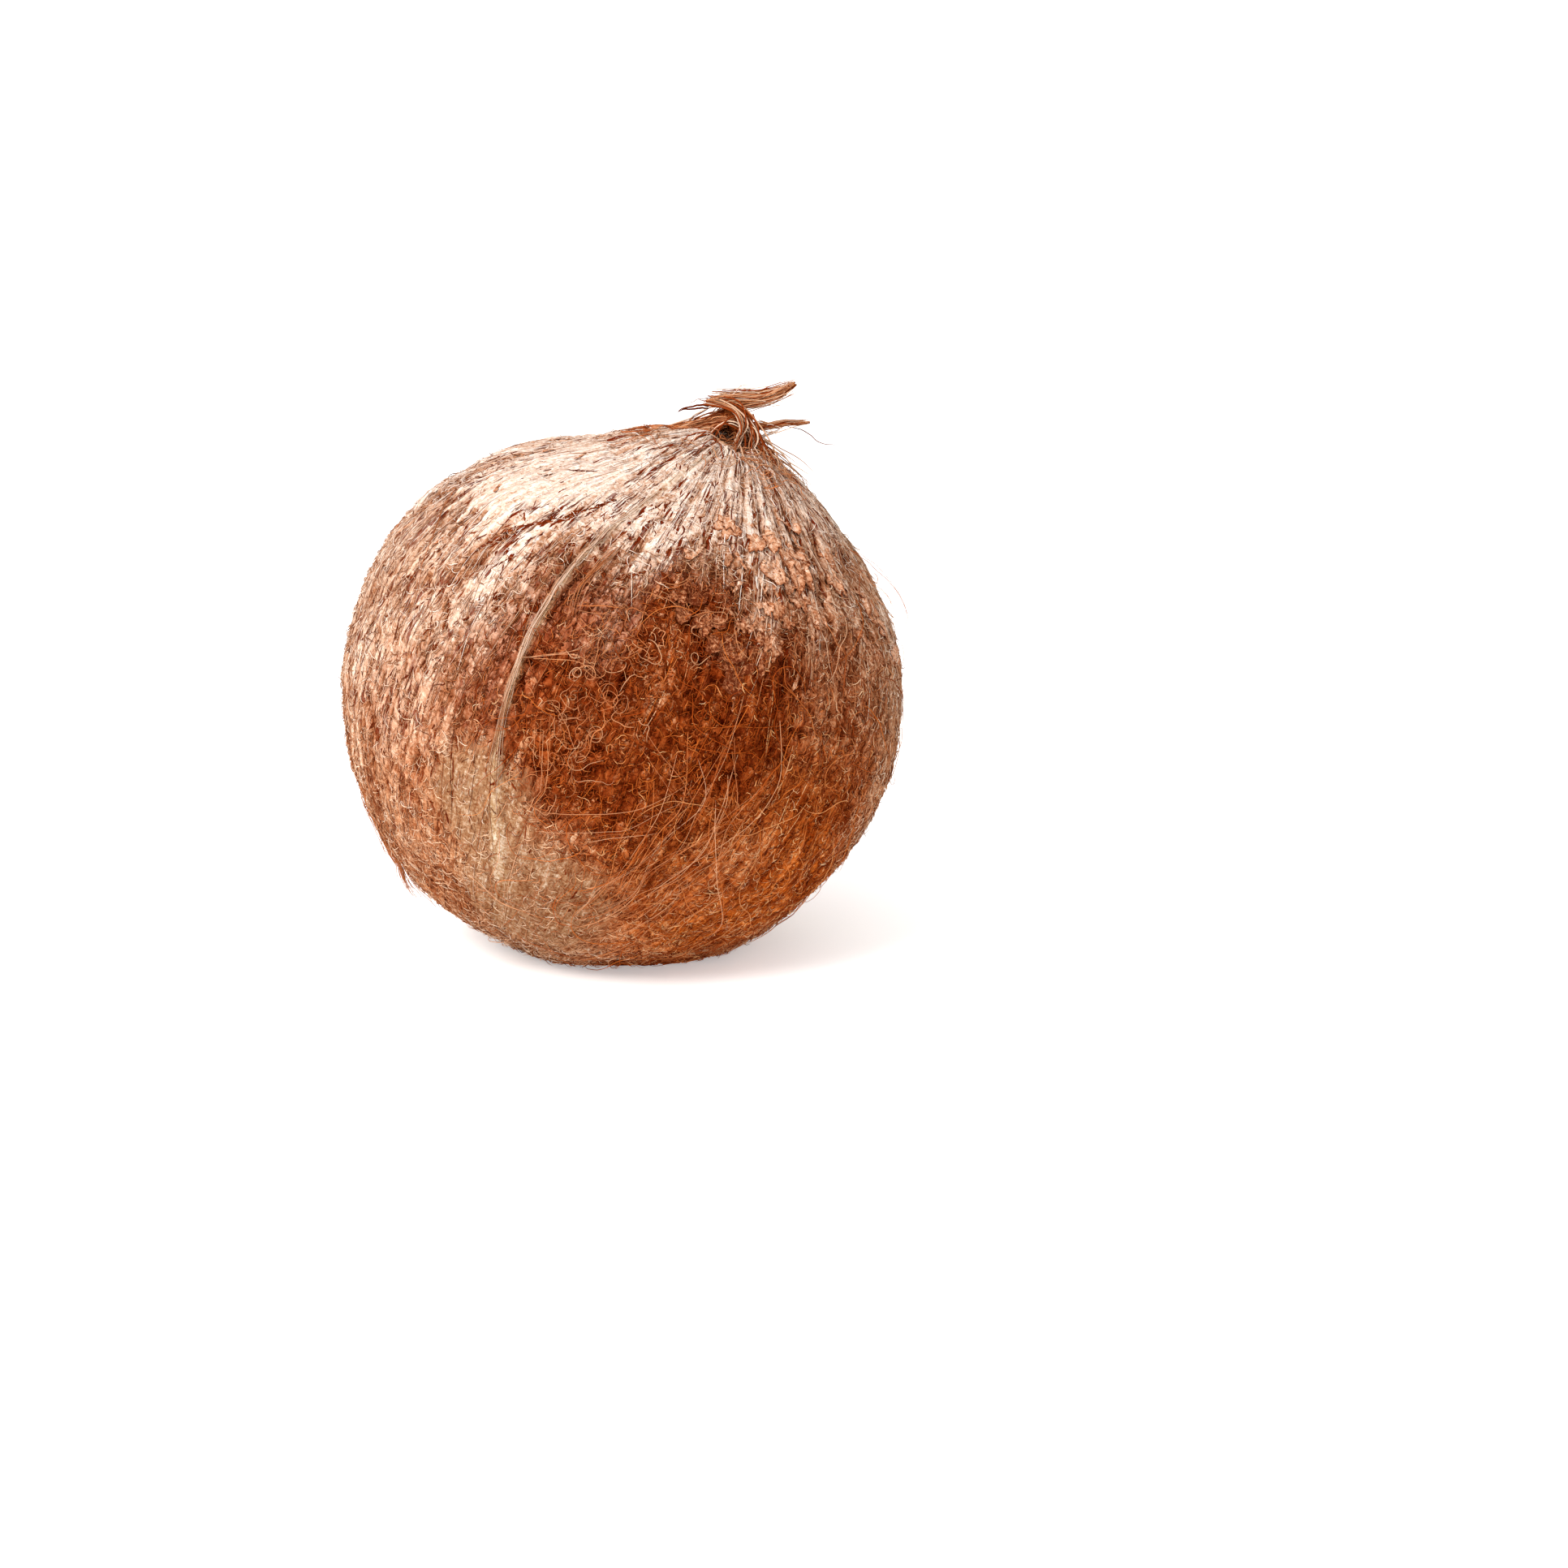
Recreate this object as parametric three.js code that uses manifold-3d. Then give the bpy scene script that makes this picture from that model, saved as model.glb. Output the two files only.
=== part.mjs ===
// A husked coconut, resting on a small flat spot: the hairy nut, and at its crown the twist of torn
// husk with two stiff husk splinters. Millimetres, +Z up. The origin is on the resting plane, under
// the middle of the whole outline.
import * as THREE from 'three';
import { mergeVertices } from 'three/addons/utils/BufferGeometryUtils.js';
import Module from 'manifold-3d';

// Driving dimensions
const NUT_RADIUS = 60; // to the outside of the felt, away from the crown
const SEAT_RADIUS = 22; // the flat spot that the nut rests on
const AXIS_LEAN = 24; // degrees from upright to the nut's own axis, towards +X
const AXIS_TURN = 7; // degrees that the lean is turned from +X towards +Y
const NUT_DETAIL = 12; // subdivisions of each icosahedron edge

// The nut narrows in a ring below its crown, more on the high side than on the low one.
const WAIST_ANGLE = 33; // degrees from the crown to the deepest part of the ring
const WAIST_DEPTH = 3.7; // mean depth of the ring
const WAIST_TILT = 1.8; // how much deeper it is on the high side, and shallower on the low side
const WAIST_INNER = 20; // degrees over which it fades towards the crown
const WAIST_OUTER = 24; // degrees over which it fades towards the equator

// Three blunt ribs run from the crown to the stem end.
const RIB_COUNT = 3;
const RIB_HEIGHT = 0.5;
const RIB_ANGLE = 3; // degrees from the low side to the first rib

const GAP = 0.3; // between pieces that touch

// The twist of husk at the crown
const KNOT_WIDTH = 12;
const KNOT_DEPTH = 9;
const KNOT_HEIGHT = 11;
const KNOT_RISE = 61; // from the nut's middle to the knot's middle, along the nut's axis
const KNOT_LUMP = 0.5;

// The splinters: each is a tapered blade with a blunt end, from its root to its tip
const LONG_SPLINTER = {
  root: [18.6, 0.5, 118.2],
  tip: [36.2, -1.5, 122.1],
  rootSize: [5.0, 3.4],
  tipSize: [1.8, 1.2],
  bow: 0.7,
};
const SHORT_SPLINTER = {
  root: [29.8, 1.5, 114.4],
  tip: [41.2, 2.5, 114.6],
  rootSize: [1.5, 1.4],
  tipSize: [0.8, 0.7],
  bow: 0.4,
};
const SPLINTER_SIDES = 8;
const SPLINTER_STEPS = 8;

const HUSK_BROWN = 0xb27a54;
const STRAND_TAN = 0xc58a63;
const SPLINTER_BROWN = 0xa86e4a;

const rad = THREE.MathUtils.degToRad;
const seatHeight = Math.sqrt(NUT_RADIUS ** 2 - SEAT_RADIUS ** 2);
const nutMiddle = new THREE.Vector3(0, 0, seatHeight);

// The nut's own axis, the sideways direction on its low side, and the third direction
const axis = new THREE.Vector3(
  Math.sin(rad(AXIS_LEAN)) * Math.cos(rad(AXIS_TURN)),
  Math.sin(rad(AXIS_LEAN)) * Math.sin(rad(AXIS_TURN)),
  Math.cos(rad(AXIS_LEAN)),
);
const lowSide = new THREE.Vector3(0, 0, -1).addScaledVector(axis, axis.z).normalize();
const across = new THREE.Vector3().crossVectors(axis, lowSide);

const wasm = await Module();
wasm.setup();

function toSolid(geometry) {
  const bare = geometry.clone();
  bare.deleteAttribute('normal');
  bare.deleteAttribute('uv');
  const merged = mergeVertices(bare, 1e-4);
  return new wasm.Manifold(
    new wasm.Mesh({
      numProp: 3,
      vertProperties: new Float32Array(merged.attributes.position.array),
      triVerts: new Uint32Array(merged.index.array),
    }),
  );
}

function toGeometry(solid) {
  const mesh = solid.getMesh();
  const geometry = new THREE.BufferGeometry();
  geometry.setAttribute('position', new THREE.BufferAttribute(mesh.vertProperties, 3));
  geometry.setIndex(new THREE.BufferAttribute(mesh.triVerts, 1));
  geometry.computeVertexNormals();
  return geometry;
}

function moveVertices(geometry, move) {
  const places = geometry.attributes.position;
  const point = new THREE.Vector3();
  for (let i = 0; i < places.count; i += 1) {
    point.fromBufferAttribute(places, i);
    move(point);
    places.setXYZ(i, point.x, point.y, point.z);
  }
  return geometry;
}

function bump(angle, inner, outer) {
  const width = angle < 0 ? inner : outer;
  return Math.exp(-((angle / width) ** 2));
}

// How far the nut reaches from its middle in a unit direction
function nutReach(direction) {
  const fromCrown = THREE.MathUtils.radToDeg(direction.angleTo(axis));
  const around = Math.atan2(direction.dot(across), direction.dot(lowSide));
  const waist = WAIST_DEPTH - WAIST_TILT * Math.cos(around);
  const rib = RIB_HEIGHT * Math.cos(RIB_COUNT * (around - rad(RIB_ANGLE)));
  const ribFade = Math.sin(rad(fromCrown)) ** 2;
  const pinch = bump(fromCrown - WAIST_ANGLE, WAIST_INNER, WAIST_OUTER);
  return NUT_RADIUS - waist * pinch + rib * ribFade;
}

function nutBall(extra) {
  const ball = new THREE.IcosahedronGeometry(1, NUT_DETAIL);
  moveVertices(ball, (point) => {
    point.normalize();
    point.multiplyScalar(nutReach(point) + extra).add(nutMiddle);
  });
  return toSolid(ball);
}

function makeNut() {
  const size = 4 * NUT_RADIUS;
  const below = new THREE.BoxGeometry(size, size, size).translate(0, 0, -size / 2);
  return nutBall(0).subtract(toSolid(below));
}

function knotBlob(extra) {
  const blob = new THREE.SphereGeometry(1, 20, 14);
  const middle = nutMiddle.clone().addScaledVector(axis, KNOT_RISE);
  moveVertices(blob, (point) => {
    const lump = KNOT_LUMP * Math.sin(5 * Math.atan2(point.z, point.x)) * (1 - point.y ** 2);
    const lobes = [point.x, point.z, point.y];
    const halves = [KNOT_WIDTH / 2, KNOT_DEPTH / 2, KNOT_HEIGHT / 2];
    const [x, y, z] = lobes.map((value, i) => value * (halves[i] + lump + extra));
    point.set(x, -y, z).add(middle);
  });
  return toSolid(blob);
}

// A blade along +Z from its root at 0 to its tip, turned to run from root to tip
function splinter({ root, tip, rootSize, tipSize, bow }) {
  const start = new THREE.Vector3(...root);
  const along = new THREE.Vector3(...tip).sub(start);
  const length = along.length();
  const blade = new THREE.CylinderGeometry(1, 1, length, SPLINTER_SIDES, SPLINTER_STEPS);
  blade.rotateX(Math.PI / 2).translate(0, 0, length / 2);
  moveVertices(blade, (point) => {
    const part = point.z / length;
    point.x *= THREE.MathUtils.lerp(rootSize[0], tipSize[0], part) / 2;
    point.y *= THREE.MathUtils.lerp(rootSize[1], tipSize[1], part) / 2;
    point.x += bow * Math.sin(Math.PI * part);
  });
  const ahead = along.clone().normalize();
  const side = new THREE.Vector3().crossVectors(ahead, new THREE.Vector3(0, 0, -1)).normalize();
  const down = new THREE.Vector3().crossVectors(side, ahead);
  blade.applyMatrix4(new THREE.Matrix4().makeBasis(down, side, ahead));
  blade.translate(start.x, start.y, start.z);
  return toSolid(blade);
}

function piece(name, solid, color, roughness) {
  const material = new THREE.MeshStandardMaterial({ color, roughness, metalness: 0 });
  const mesh = new THREE.Mesh(toGeometry(solid), material);
  mesh.name = name;
  return mesh;
}

function centreOnOrigin(group) {
  const middle = new THREE.Box3().setFromObject(group).getCenter(new THREE.Vector3());
  group.position.set(-middle.x, -middle.y, 0);
  return group;
}

const nutWithGap = nutBall(GAP);
const knotWithGap = knotBlob(GAP);

const coconut = new THREE.Group();
coconut.add(
  piece('nut', makeNut(), HUSK_BROWN, 0.9),
  piece('tuft_knot', knotBlob(0).subtract(nutWithGap), STRAND_TAN, 0.85),
  piece('husk_splinter_long', splinter(LONG_SPLINTER).subtract(knotWithGap), SPLINTER_BROWN, 0.8),
  piece('husk_splinter_short', splinter(SHORT_SPLINTER).subtract(knotWithGap), SPLINTER_BROWN, 0.8),
);
centreOnOrigin(coconut);

export default coconut;
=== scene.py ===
"""The looks of a husked coconut: its coat of matted fibre, loose hairs, flakes and twisted crown."""

import itertools
import math

import bmesh
import bpy
import numpy as np
from bpy.props import FloatProperty, FloatVectorProperty, PointerProperty
from mathutils import Matrix, Vector


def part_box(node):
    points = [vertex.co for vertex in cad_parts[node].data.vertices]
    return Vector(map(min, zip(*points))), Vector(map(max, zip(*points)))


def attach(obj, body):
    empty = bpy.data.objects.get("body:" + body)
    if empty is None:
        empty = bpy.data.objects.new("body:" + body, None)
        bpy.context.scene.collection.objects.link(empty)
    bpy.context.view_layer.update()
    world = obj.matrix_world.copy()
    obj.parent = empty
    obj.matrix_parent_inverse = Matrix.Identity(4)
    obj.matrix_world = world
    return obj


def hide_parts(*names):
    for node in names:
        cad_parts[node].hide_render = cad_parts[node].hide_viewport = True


bl_info = {
    "name": "Husked Coconut",
    "version": (1, 0, 0),
    "blender": (4, 5, 0),
    "location": "3D View > Sidebar > Coconut",
    "description": "Builds the fibrous coat, crown and loose hairs of a husked coconut",
    "category": "Add Mesh",
}

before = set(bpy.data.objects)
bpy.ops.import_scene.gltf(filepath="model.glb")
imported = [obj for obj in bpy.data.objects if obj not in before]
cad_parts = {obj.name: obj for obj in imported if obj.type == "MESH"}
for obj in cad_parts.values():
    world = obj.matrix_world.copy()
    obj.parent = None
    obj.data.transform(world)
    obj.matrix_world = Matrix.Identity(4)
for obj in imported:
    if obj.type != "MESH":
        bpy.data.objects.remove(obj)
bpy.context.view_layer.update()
MM = 0.001
SEED = 11


# ---------------------------------------------------------------- colours and small helpers


def linear(hex_colour):
    """An sRGB hex colour as the linear red, green, blue and alpha that a shader wants."""
    channels = [int(hex_colour[i : i + 2], 16) / 255 for i in (0, 2, 4)]
    return [c / 12.92 if c <= 0.04045 else ((c + 0.055) / 1.055) ** 2.4 for c in channels] + [1.0]


def smoothstep(low, high, value):
    t = np.clip((value - low) / (high - low), 0, 1)
    return t * t * (3 - 2 * t)


def unit(vectors):
    return vectors / np.maximum(np.linalg.norm(vectors, axis=-1, keepdims=True), 1e-12)


def lattice_noise(points, cell, seed):
    """Smooth noise from -1 to 1, about one wave per cell, for an (n, 3) array of points."""
    place = np.asarray(points, float) / cell + 1000.0
    base = np.floor(place).astype(np.int64)
    t = place - base
    t = t * t * (3 - 2 * t)
    total = np.zeros(len(place))
    for corner in itertools.product((0, 1), repeat=3):
        at = base + corner
        h = (at[:, 0] * 374761393 + at[:, 1] * 668265263 + at[:, 2] * 1274126177) & 0xFFFFFFFF
        h = (h + seed * 974634777) & 0xFFFFFFFF
        h = ((h ^ (h >> 13)) * 1274126177) & 0xFFFFFFFF
        h = ((h ^ (h >> 16)) * 668265263) & 0xFFFFFFFF
        value = ((h >> 8) & 0xFFFF) / 32767.5 - 1
        total += value * np.prod(np.where(corner, t, 1 - t), axis=1)
    return total


def fractal_noise(points, cell, octaves, seed):
    total = np.zeros(len(points))
    for octave in range(octaves):
        total += lattice_noise(points, cell / 2**octave, seed + 7 * octave) / 2**octave
    return total / 1.6


# ---------------------------------------------------------------- the nut's own directions


class Nut:
    """The nut's middle, its axis and its polar directions, in metres and degrees."""

    lean, turn, seat = 24.0, 7.0, 22 * MM

    def __init__(self):
        low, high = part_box("nut")
        self.radius = (high[0] - low[0]) / 2
        height = math.sqrt(self.radius**2 - self.seat**2)
        self.middle = np.array([(low[0] + high[0]) / 2, (low[1] + high[1]) / 2, height])
        lean, turn = math.radians(self.lean), math.radians(self.turn)
        self.axis = np.array(
            [math.sin(lean) * math.cos(turn), math.sin(lean) * math.sin(turn), math.cos(lean)]
        )
        low_side = self.axis * self.axis[2] - np.array([0, 0, 1.0])
        self.low_side = low_side / np.linalg.norm(low_side)
        self.across = np.cross(self.axis, self.low_side)

    def polar(self, directions):
        """Degrees from the crown, and degrees around the axis from its low side."""
        from_crown = np.degrees(np.arccos(np.clip(directions @ self.axis, -1, 1)))
        around = np.degrees(np.arctan2(directions @ self.across, directions @ self.low_side))
        return from_crown, around

    def direction(self, from_crown, around):
        t, p = np.radians(from_crown), np.radians(around)
        return (
            np.cos(t)[..., None] * self.axis
            + (np.sin(t) * np.cos(p))[..., None] * self.low_side
            + (np.sin(t) * np.sin(p))[..., None] * self.across
        )


nut = Nut()
SEAMS = (-122.0, -2.0, 118.0)  # degrees around, where each of the three seams is furthest along


def seam_around(seam, from_crown):
    """A seam bows a little as it runs from the crown to the stem end."""
    return seam + 8.8 * ((from_crown - 65) / 52) ** 2


def turn_between(a, b):
    return (a - b + 180) % 360 - 180


def near(directions, from_crown, around, reach):
    """1 at a place on the nut, falling smoothly to 0 at reach degrees from it."""
    centre = nut.direction(np.array(from_crown, float), np.array(around, float))
    angle = np.degrees(np.arccos(np.clip(directions @ centre, -1, 1)))
    return 1 - smoothstep(0.35 * reach, reach, angle)


def region_dry(directions):
    """Where the coat is pale dry husk, as round the crown, rather than fuzzy felt."""
    from_crown, around = nut.polar(directions)
    tongues = lattice_noise(around_space(directions, 44, 60), 1, 35)
    wander = 14 * fractal_noise(directions, 0.3, 3, 3) + 11 * tongues
    left = np.maximum(0, -np.cos(np.radians(around - 15)))
    edge = 42 + 26 * left**2 + 6 * near(directions, 50, -75, 40) + wander
    soft = 24 - 8 * near(directions, 56, -78, 34)
    patchy = 0.5 + 0.2 * lattice_noise(directions, 0.2, 4)
    weathered = patchy * near(directions, 90, -168, 58)
    return np.maximum(1 - smoothstep(edge - 8, edge + soft, from_crown), weathered)


def region_bleached(directions):
    """Where the dry husk is bleached pale, on the high left and on the far side."""
    spots = near(directions, 48, -158, 88) + 0.8 * near(directions, 40, 110, 60)
    return region_dry(directions) * (0.25 + 0.75 * spots.clip(0, 1))


def columns(directions):
    """How proud the coat stands: level on bundles that run down the nut, sunk in broken streaks between."""
    streaks = np.abs(lattice_noise(around_space(directions, 84, 15), 1, 37))
    broken = smoothstep(-0.4, 0.3, lattice_noise(directions, 0.15, 39))
    return 0.12 - 1.1 * broken * np.exp(-((streaks / 0.16) ** 2))


def region_crust(directions):
    """Where the dry husk is an unbroken granular crust, without combed strands on it."""
    total = near(directions, 32, -108, 30) + 0.8 * near(directions, 44, -150, 26)
    return np.clip(total + 0.25 * lattice_noise(directions, 0.12, 6), 0, 1)


def region_ember(directions):
    """Where the felt is deep orange, low on the front right and round the back; low on the front right the
    orange also paints warm bounced light.
    """
    wander = 0.25 * fractal_noise(directions, 0.4, 2, 5)
    # painted light in part: the spot low on the front right also stands for warm light bounced on to the
    # nut
    spots = near(directions, 108, -58, 52) + 0.7 * near(directions, 110, 70, 70)
    return np.clip(spots + 0.35 * near(directions, 125, -150, 50) + wander, 0, 1)


def region_dark(directions):
    """Where the felt is darkest, red-brown, on the front right and the far side, with painted shade on the
    underside near the floor.
    """
    wander = 0.3 * fractal_noise(directions, 0.3, 2, 8)
    spots = 1.2 * near(directions, 79, -96, 43) + 0.5 * near(directions, 72, -52, 32)
    spots = spots + 0.35 * near(directions, 82, -130, 30) + 0.6 * near(directions, 70, 60, 50)
    # painted shade: the felt is darker on the underside, near the floor
    underside_shade = 0.9 * smoothstep(0.86, 0.94, -directions[:, 2])
    return np.clip(spots + underside_shade + wander, 0, 1)


def region_pith(directions):
    """Where the felt is worn to smooth tan pith, beside the lower seams and above the flat spot."""
    wander = 0.25 * fractal_noise(directions, 0.25, 3, 9)
    total = near(directions, 112, -119, 17) + 1.1 * near(directions, 133, -98, 26)
    total = total + 0.8 * near(directions, 116, 122, 24) + 0.7 * near(directions, 128, 10, 24)
    return np.clip(smoothstep(0.1, 1.1, total + wander), 0, 1)


# ---------------------------------------------------------------- the relief of the coat


def around_space(directions, cells_around, long_mm):
    """Places in which noise has so many cells round the nut, each long_mm from crown to stem end."""
    from_crown, around = nut.polar(directions)
    ring = cells_around / (2 * np.pi)
    around = np.radians(around)
    along = np.radians(from_crown) * nut.radius / MM / long_mm
    return np.stack([ring * np.cos(around), ring * np.sin(around), along], 1)


def shingles(directions, cells_around, long_deg, seed):
    """Ragged cells like lapped scales. Per place: how far from the nearest crack, how far down its
    scale, and a number from 0 to 1 that belongs to the scale."""
    from_crown, around = nut.polar(directions)
    wobble = 0.35 * lattice_noise(directions, 0.09, seed + 5)
    x = around / 360 * cells_around + wobble
    y = from_crown / long_deg + 0.35 * lattice_noise(directions, 0.11, seed + 9)
    column, row = np.floor(x), np.floor(y)
    first = np.full(len(x), 9.0)
    second = first.copy()
    down = np.zeros(len(x))
    own = np.zeros(len(x))
    for step_x, step_y in itertools.product((-1, 0, 1), repeat=2):
        cell_x, cell_y = column + step_x, row + step_y
        wrapped = np.mod(cell_x, cells_around)
        salt = np.mod(np.sin(wrapped * 127.1 + cell_y * 311.7 + seed) * 43758.5453, 1)
        other = np.mod(np.sin(wrapped * 269.5 + cell_y * 183.3 + seed) * 27183.123, 1)
        off_x = cell_x + 0.2 + 0.6 * salt - x
        off_y = cell_y + 0.2 + 0.6 * other - y
        gap = np.hypot(off_x, off_y)
        closer = gap < first
        second = np.where(closer, first, np.minimum(second, gap))
        down = np.where(closer, -off_y, down)
        own = np.where(closer, np.mod(salt * 7.31 + other * 3.7, 1), own)
        first = np.where(closer, gap, first)
    return second - first, down, own


def seam_offset(directions, seam):
    """How far each place lies from a seam, in millimetres, and positive towards the low side."""
    from_crown, around = nut.polar(directions)
    turn = np.radians(turn_between(around, seam_around(seam, from_crown)))
    return turn * np.sin(np.radians(from_crown)) * nut.radius / MM


class Coat:
    """The relief of the coat in millimetres and the tones that its colour goes by, per direction."""

    def __init__(self, directions, pleat_depth, felt_height):
        from_crown, around = nut.polar(directions)
        self.dry = region_dry(directions)
        self.bleached = region_bleached(directions)
        self.ember = region_ember(directions)
        self.dark = region_dark(directions) * (1 - 0.8 * self.dry)
        self.pith = region_pith(directions)
        self.pale = self.pale_patches(directions)
        calm = (1 - 0.75 * self.pale) * (1 - 0.7 * self.pith)
        scales, crack = self.scales(directions)
        grooves = pleat_depth * self.pleats(directions, from_crown) - 0.8 * self.slits(directions)
        grooves = grooves * (1 - 0.6 * region_crust(directions))
        fine = calm * (grooves + scales + felt_height * self.felt(directions))
        lumps = 0.9 * fractal_noise(directions, 0.24, 3, 21)
        seam, self.seam = self.seams(directions, from_crown)
        keep = 1 - self.seam * 0.7
        self.height = lumps + keep * fine + seam + 0.35 * self.pale
        # painted shade: the tone follows the relief, darker in grooves, pits, slits and the gaps beside the
        # seams, paler where the coat stands proud
        tone = 0.55 + 0.1 * self.dry + 0.45 * (fine * keep + 0.5 * seam)
        # painted shade: the coat below the crown's hollow is sunk and painted darker, and the cracks
        # between scales are painted darker too
        hollow = near(directions, 4.5, -100, 6)
        self.height = self.height - 1.2 * hollow
        self.relief = np.clip(tone - 0.2 * crack - 0.6 * hollow, 0, 1)
        self.slit = np.clip(0.6 + 0.5 * self.dry - 0.2 * self.dark, 0, 1) * calm * keep
        self.lump = np.clip(0.08 + 0.75 * self.dark, 0, 1) * calm * keep
        ring = np.radians(around)
        along = np.radians(from_crown)
        self.comb = np.stack([np.cos(ring), np.sin(ring), along], 1) * nut.radius

    @staticmethod
    def pale_patches(directions):
        wander = 0.3 * fractal_noise(directions, 0.09, 2, 31)
        spots = ((41, -149, 17), (54, -157, 12), (36, -172, 12), (48, 150, 15), (33, 90, 12))
        total = sum(near(directions, *spot) for spot in spots)
        return np.clip(smoothstep(0.25, 0.7, total + wander), 0, 1)

    @staticmethod
    def pleats(directions, from_crown):
        """Grooves that run down from the crown, deepest near it."""
        wide = lattice_noise(around_space(directions, 60, 26), 1, 41)
        narrow = lattice_noise(around_space(directions, 140, 14), 1, 43)
        strands = lattice_noise(around_space(directions, 330, 9), 1, 45)
        broken = smoothstep(-0.5, 0.4, lattice_noise(directions, 0.16, 47))
        reach = smoothstep(4, 16, from_crown) * (1 - 0.65 * smoothstep(48, 92, from_crown))
        grooves = -0.8 * broken * np.exp(-((wide / 0.17) ** 2))
        grooves = grooves - 0.4 * np.exp(-((narrow / 0.22) ** 2))
        return reach * (grooves + 0.3 * wide + 0.25 * strands)

    def slits(self, directions):
        """Short gashes between strands of the dry husk, sunk into the relief, which the relief tone paints
        dark as shade.
        """
        short = lattice_noise(around_space(directions, 170, 7), 1, 71)
        long = lattice_noise(around_space(directions, 120, 15), 1, 73)
        gash = smoothstep(0.38, 0.7, short) + smoothstep(0.5, 0.75, long)
        return (0.15 + 0.85 * self.dry) * gash.clip(0, 1)

    def scales(self, directions):
        """Lapped flakes on the low front side, and shallower ones elsewhere near the crown."""
        edge, down, own = shingles(directions, 44, 11, 3)
        strength = 0.1 * self.dry + 0.6 * near(directions, 50, -74, 26)
        strength += 0.5 * near(directions, 52, -30, 30) + 0.4 * near(directions, 50, 90, 34)
        strength = np.clip(strength, 0, 1)
        crack = 1 - smoothstep(0.02, 0.13, edge)
        height = 0.6 * (own - 0.5) + 0.5 * down - 0.7 * crack
        return 0.8 * strength * height, strength * crack

    def felt(self, directions):
        """Matted curls and the small pits between them, which the relief tone paints dark as shade."""
        curls = fractal_noise(directions, 0.04, 2, 51)
        pits = smoothstep(0.3, 0.75, lattice_noise(directions, 0.036, 57))
        clumps = lattice_noise(directions, 0.1, 59)
        crust = lattice_noise(around_space(directions, 200, 1.7), 1, 53)
        fuzz = 1 - 0.5 * self.dry
        matted = 0.85 * curls - 1.2 * pits + 0.5 * clumps + 0.7 * columns(directions)
        return fuzz * matted + 0.5 * self.dry * crust

    @staticmethod
    def seams(directions, from_crown):
        """Three raised ribbons of finer grain, each with a sunk broken gap beside it, which the relief tone
        paints dark as shade.
        """
        height = np.zeros(len(directions))
        cover = np.zeros(len(directions))
        for index, seam in enumerate(SEAMS):
            wander = 0.5 * fractal_noise(directions, 0.2, 2, 61 + index)
            off = seam_offset(directions, seam) + wander
            wide = 2.2 if index == 1 else 0.0
            half = 0.75 + wide + 0.1 * smoothstep(45, 65, from_crown)
            half = half + 0.9 * smoothstep(95, 125, from_crown)
            ends = smoothstep(8, 18, from_crown) * (1 - smoothstep(118, 140, from_crown))
            ribbon = ends * (1 - smoothstep(half * 0.6, half * 1.3, np.abs(off)))
            broken = smoothstep(-0.2, 0.3, fractal_noise(directions, 0.14, 2, 67 + index))
            other = smoothstep(-0.1, 0.3, fractal_noise(directions, 0.14, 2, 77 + index))
            fade = 1 - 0.85 * smoothstep(80, 110, from_crown)
            low_gap = broken * np.exp(-(((off - half - 0.7) / 0.5) ** 2))
            high_gap = other * np.exp(-(((off + half + 0.6) / 0.45) ** 2))
            proud = 0.1 + 0.36 * smoothstep(44, 64, from_crown)
            gaps = fade * smoothstep(36, 58, from_crown) * (1.1 * low_gap + 1.4 * high_gap)
            height += proud * ribbon - ends * gaps
            cover = np.maximum(cover, ribbon * (0.6 + 0.4 * smoothstep(40, 60, from_crown)))
        return height, cover


def write_attribute(mesh, name, values):
    """Stores a number, or a vector, at every vertex."""
    kind, field = ("FLOAT", "value") if values.ndim == 1 else ("FLOAT_VECTOR", "vector")
    layer = mesh.attributes.new(name=name, type=kind, domain="POINT")
    layer.data.foreach_set(field, np.ascontiguousarray(values, dtype=np.float32).ravel())


def vertex_places(mesh):
    places = np.empty(len(mesh.vertices) * 3)
    mesh.vertices.foreach_get("co", places)
    return places.reshape(-1, 3)


def deselect_all():
    bpy.ops.object.select_all(action="DESELECT")


def apply_place():
    bpy.ops.object.transform_apply(location=True, rotation=True, scale=True)


class Surface:
    """The finished coat's reach from the nut's middle, looked up in any direction."""

    def __init__(self, rings, segments):
        self.rings, self.segments = rings, segments
        self.reach = np.full((rings + 1, segments), nut.radius)

    def fill(self, from_crown, around, reach):
        row = np.rint(from_crown / 180 * self.rings).astype(int)
        column = np.rint(around / 360 * self.segments).astype(int) % self.segments
        self.reach[row, column] = reach
        for end in (0, self.rings):
            self.reach[end] = reach[row == end].mean()

    def at(self, directions):
        from_crown, around = nut.polar(directions)
        x, y = np.mod(around, 360) / 360 * self.segments, from_crown / 180 * self.rings
        x0, y0 = np.floor(x).astype(int), np.minimum(np.floor(y).astype(int), self.rings - 1)
        fx, fy = x - x0, y - y0
        x0, x1 = x0 % self.segments, (x0 + 1) % self.segments
        top = self.reach[y0, x0] * (1 - fx) + self.reach[y0, x1] * fx
        low = self.reach[y0 + 1, x0] * (1 - fx) + self.reach[y0 + 1, x1] * fx
        return top * (1 - fy) + low * fy


coat_surface = Surface(rings=236, segments=420)


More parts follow.
